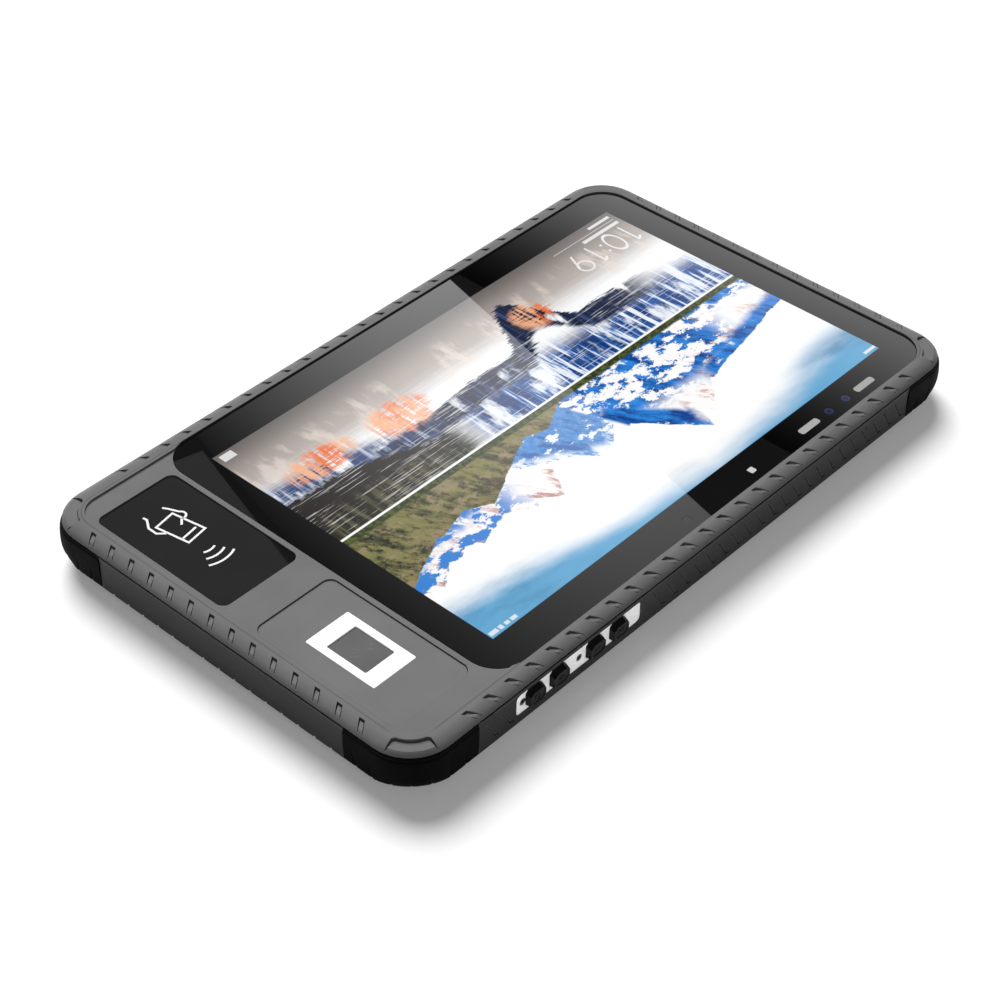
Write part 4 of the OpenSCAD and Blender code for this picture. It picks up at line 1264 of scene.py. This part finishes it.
@dataclass
class Keys(SubAssembly):
    """Key plate, its screws and the four keys with their moulded marks."""

    mark_r: float = 1.05
    mark_stroke: float = 0.2
    mark_rise: float = 0.14

    def bar(self, bm: bmesh.types.BMesh, middle: tuple[float, float], size: tuple[float, float]) -> None:
        """Adds a small bevelled bar that faces +Y.

        Args:
            bm: The mesh that it is added to.
            middle: Its middle, along X and Z.
            size: Its length and height.
        """
        made = bmesh.ops.create_cube(bm, size=1.0)["verts"]
        bmesh.ops.scale(bm, vec=(size[0], self.mark_rise, size[1]), verts=made)
        bmesh.ops.translate(bm, verts=made, vec=(middle[0], -self.mark_rise / 2, middle[1]))
        front = [e for e in {e for v in made for e in v.link_edges} if all(v.co.y > -0.01 for v in e.verts)]
        bmesh.ops.bevel(bm, geom=front, offset=0.04, offset_type="OFFSET", affect="EDGES", segments=2,
                        profile=0.5, material=-1)

    def ring(self, bm: bmesh.types.BMesh, radius: float, sweep_deg: float) -> None:
        """Adds a ring, or the part of one below a gap at its top.

        Args:
            bm: The mesh that it is added to.
            radius: Radius of its middle.
            sweep_deg: Angle that it covers.
        """
        half = self.mark_stroke / 2
        outline = [(radius - half, -self.mark_rise), (radius - half, 0.0), (radius + half, 0.0),
                   (radius + half, -self.mark_rise)]
        start = math.radians(90 + (360 - sweep_deg) / 2)
        points = [bm.verts.new((r * math.cos(start), y, r * math.sin(start))) for r, y in outline]
        loop = [bm.edges.new((a, b)) for a, b in zip(points, points[1:] + points[:1])]
        bmesh.ops.contextual_create(bm, geom=loop)
        made = bmesh.ops.spin(
            bm, geom=points + loop, cent=(0, 0, 0), axis=(0, -1, 0), dvec=(0, 0, 0),
            angle=math.radians(sweep_deg), steps=28, use_merge=False, use_duplicate=False,
        )
        last = edges_of(made["geom_last"])
        bmesh.ops.contextual_create(bm, geom=last)

    def mark(self, kind: KeyMark) -> bmesh.types.BMesh:
        """Makes the mark of one key, about its middle.

        Args:
            kind: Which key.

        Returns:
            The mark's mesh, with its front on y = 0.
        """
        bm = bmesh.new()
        long, thin = 2 * self.mark_r, self.mark_stroke
        if kind is KeyMark.POWER:
            self.ring(bm, self.mark_r, 290.0)
            self.bar(bm, (0.0, self.mark_r * 0.8), (thin, self.mark_r))
        elif kind is KeyMark.LOUDER:
            self.bar(bm, (0.0, 0.0), (long, thin))
            self.bar(bm, (0.0, 0.62 * self.mark_r), (thin, 0.8 * self.mark_r))
            self.bar(bm, (0.0, -0.62 * self.mark_r), (thin, 0.8 * self.mark_r))
        elif kind is KeyMark.SOFTER:
            self.bar(bm, (0.0, 0.0), (long, thin * 1.3))
        else:
            for side in (-1, 1):
                self.bar(bm, (side * self.mark_r, 0.0), (thin, 1.5 * self.mark_r))
                self.bar(bm, (side * 0.35 * self.mark_r, 0.0), (thin, self.mark_r))
        return bm

    def build(self) -> None:
        """Makes the marks and dresses the keys."""
        rubber = MouldedPlastic("key_rubber", rgb("0b0b0b"), 0.42, edge_wear_and_highlight=2.5, specular=0.18).material()
        raised = MouldedPlastic("key_mark_rubber", rgb("141414"), 0.35, edge_wear_and_highlight=1.0, specular=0.3)
        raised = raised.material()
        dress([kind.value for kind in KeyMark], rubber)
        for kind in KeyMark:
            low, high = edges_mm(kind.value)
            bm = self.mark(kind)
            face = high.y - 0.01
            bmesh.ops.translate(bm, verts=bm.verts, vec=((low.x + high.x) / 2, face, (low.z + high.z) / 2))
            self.add(f"{kind.value}_mark", bm, raised, kind.value, Slot.KEY)
        # painted light: the white plastic glows so it stays bright on the side turned from the key light
        white = MouldedPlastic("white_plastic", rgb("f4f4f4"), 0.4, edge_wear_and_highlight=0.0, cloud=0.02, glow=0.22)
        dress(("fingerprint_bezel", "key_plate"), white.material())


@dataclass
class CardSymbol(SubAssembly):
    """White print on the card pad: a hand that holds a card beside radio waves."""

    line: float = 0.68
    thickness: float = 0.03
    shift: Spot = (0.3, 1.6)
    waves: tuple[tuple[float, float], ...] = ((4.2, 4.0), (7.0, 6.6), (9.8, 9.2))

    def ribbon(self, bm: bmesh.types.BMesh, points: Sequence[Spot], closed: bool = False) -> None:
        """Adds a printed line through points, with mitred turns.

        Args:
            bm: The mesh that it is added to.
            points: Points of the line, in millimetres from the symbol's middle.
            closed: Whether the line returns to its start.
        """
        half = self.line / 2
        spots = [Vector((x, y, 0.0)) for x, y in points]
        sides = []
        for k, spot in enumerate(spots):
            before = spots[k - 1] if k or closed else None
            after = spots[(k + 1) % len(spots)] if k + 1 < len(spots) or closed else None
            first = (spot - before).normalized() if before is not None else None
            second = (after - spot).normalized() if after is not None else None
            heading = ((first or second) + (second or first)).normalized()
            stretch = 1.0 / max(0.5, heading.dot(first or second))
            across = Vector((-heading.y, heading.x, 0.0)) * half * stretch
            sides.append((bm.verts.new(spot - across), bm.verts.new(spot + across)))
        rails = zip(sides, sides[1:] + sides[:1] if closed else sides[1:])
        for (a, b), (c, d) in rails:
            bmesh.ops.contextual_create(bm, geom=[a, b, d, c])

    def arc(self, middle: Spot, radius: float, start: float, end: float) -> list[Spot]:
        """Points of an arc, with its angles in degrees."""
        steps = 12
        turns = [math.radians(start + (end - start) * k / steps) for k in range(steps + 1)]
        return [(middle[0] + radius * math.cos(a), middle[1] + radius * math.sin(a)) for a in turns]

    def build(self) -> None:
        """Prints the symbol on the pad."""
        low, high = edges_mm("card_pad")
        bm = bmesh.new()
        for radius, width in self.waves:
            half = math.degrees(math.asin(min(1.0, width / 2 / radius)))
            self.ribbon(bm, self.arc((0.0, 0.0), radius, 90 - half, 90 + half))
        self.ribbon(bm, [(-5.0, -3.4), (-3.0, -14.6), (4.0, -13.4), (2.0, -2.2)], closed=True)
        self.ribbon(bm, [(-3.6, -5.6), (2.2, -4.6)])
        thumb = self.arc((-4.1, -12.4), 1.5, 60, 240)
        self.ribbon(bm, [(-1.6, -9.2), *thumb, (-3.4, -17.0), (-2.6, -18.4)])
        self.ribbon(bm, [(3.6, -9.4), (5.6, -11.4), (5.6, -14.6), (3.6, -17.6), (3.8, -19.0)])
        middle = ((low.x + high.x) / 2 + self.shift[0], (low.y + high.y) / 2 + self.shift[1], 0.0)
        bmesh.ops.translate(bm, verts=bm.verts, vec=middle)
        grown = bmesh.ops.extrude_face_region(bm, geom=list(bm.faces))["geom"]
        bmesh.ops.translate(bm, verts=corners_of(grown), vec=(0.0, 0.0, self.thickness))
        bmesh.ops.translate(bm, verts=bm.verts, vec=(0.0, 0.0, high.z))
        # painted light: the print glows a little
        ink = MouldedPlastic("print_ink", rgb("ececec"), 0.45, edge_wear_and_highlight=0.0, cloud=0.02, glow=0.1)
        self.add("card_symbol", bm, ink.material(), ROOT, Slot.WHITE)


@dataclass
class Case(SubAssembly):
    """Front frame, side panels, rear shell and port door."""

    def build(self) -> None:
        """Dresses the case."""
        low, high = edges_mm("front_frame")
        grey = RimmedPlastic("frame_plastic", rgb("6f6f6f"), 0.46, edge_wear_and_highlight=0.35, half_length=high.x,
                             half_width=high.y, rim_z=high.z)
        dress(("front_frame",), grey.material())
        dress(("fingerprint_plate",), MouldedPlastic("plate_plastic", rgb("717171"), 0.46).material())
        # painted highlight: strong edge lightening stands for light catching the side panels' top lip,
        # besides edge wear
        dark = MouldedPlastic(
            "shell_plastic", rgb("1e1e1f"), 0.5, edge_wear_and_highlight=4.5, edge_reach=0.3, specular=0.3
        )
        dress(("side_panel_keys", "side_panel_dock", "side_panel_card", "side_panel_ports", "port_door"),
              dark.material())
        back = MouldedPlastic(
            "back_plastic",
            rgb("262627"),
            0.58,
            grain_per_mm=2.2,
            grain_depth=0.03,
            edge_wear_and_highlight=1.5,
            specular=0.35,
        )
        dress(("rear_shell", "battery_cover"), back.material())
        dress(("case_seal", "glass_gasket"), MouldedPlastic("seal_rubber", rgb("202020"), 0.7).material())
        log.info("case spans %.1f x %.1f mm", high.x - low.x, high.y - low.y)


@dataclass
class Screen(SubAssembly):
    """Cover glass with its lit picture, and what sits in the glass's border."""

    camera_r: float = 1.6
    rear_camera_r: float = 3.4

    def build(self) -> None:
        """Dresses the screen."""
        dress(("cover_glass",), ScreenGlass("screen_glass", self.middle("display_panel")).material())
        dress(("display_panel",), Metal("display_metal", (0.6, 0.6, 0.62)).material())
        cameras = ("front_camera_a", "front_camera_b")
        centres = tuple(self.middle(name) for name in cameras)
        dress(cameras, Lens("lens_glass", centres, self.camera_r).material())
        rear = ("rear_camera_window", "rear_camera")
        dress(rear, Lens("rear_lens_glass", (self.middle(rear[0]),), self.rear_camera_r).material())
        dress(("lamp_window_a", "lamp_window_b"), GlossyPanel("lamp_diffuser", rgb("9c9c9a"), 0.3).material())
        dress(("flash_lens",), GlossyPanel("flash_diffuser", rgb("d8d2b8"), 0.25).material())
        dress(("light_sensor",), GlossyPanel("sensor_diffuser", rgb("b4b4b2"), 0.3).material())
        dress(("proximity_sensor",), GlossyPanel("sensor_dark", rgb("3c3c3e"), 0.3).material())

    @staticmethod
    def middle(node: str) -> tuple[float, float]:
        """Middle of a CAD node, along X and Y."""
        low, high = edges_mm(node)
        return ((low.x + high.x) / 2, (low.y + high.y) / 2)


@dataclass
class Readers(SubAssembly):
    """Card reader pad and fingerprint reader."""

    def build(self) -> None:
        """Dresses the readers."""
        dress(("card_pad",), GlossyPanel("pad_gloss", rgb("060606"), 0.02, 0.01).material())
        dress(("fingerprint_window",), GlossyPanel("sensor_glass", rgb("565656"), 0.25).material())
        dress(("card_antenna",), Metal("copper_foil", (0.75, 0.42, 0.2)).material())
        dress(("fingerprint_module",), CircuitBoard("reader_board").material())
        CardSymbol().build()


@dataclass
class Inside(SubAssembly):
    """Boards, battery, screws and what else the case holds."""

    def build(self) -> None:
        """Dresses the inner pieces."""
        dress(("main_board", "key_board", "port_board"), CircuitBoard("circuit_board").material())
        dress(("mid_chassis", "board_shields"), Metal("chassis_metal", (0.62, 0.62, 0.64)).material())
        dress(("battery_pack",), MouldedPlastic("battery_wrap", rgb("303234"), 0.35).material())
        dress(("battery_cover_screws", "case_screws", "port_door_pin"),
              Metal("screw_steel", (0.5, 0.5, 0.5)).material())
        dress(("key_screws",), Metal("plated_steel", (0.16, 0.16, 0.16), 0.4).material())
        dress(("strap_inserts", "dock_contacts"), Metal("contact_brass", (0.78, 0.6, 0.28)).material())
        dress(("speaker",), MouldedPlastic("speaker_box", rgb("222222"), 0.6).material())


def main() -> None:
    """Builds the looks and reports each step."""
    logging.basicConfig(level=logging.INFO, format="%(message)s")
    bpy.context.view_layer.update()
    Studio().build()
    for group in (Case(), Screen(), Readers(), Bumpers(), Keys(), Inside()):
        group.build()


if __name__ == "__main__":
    main()
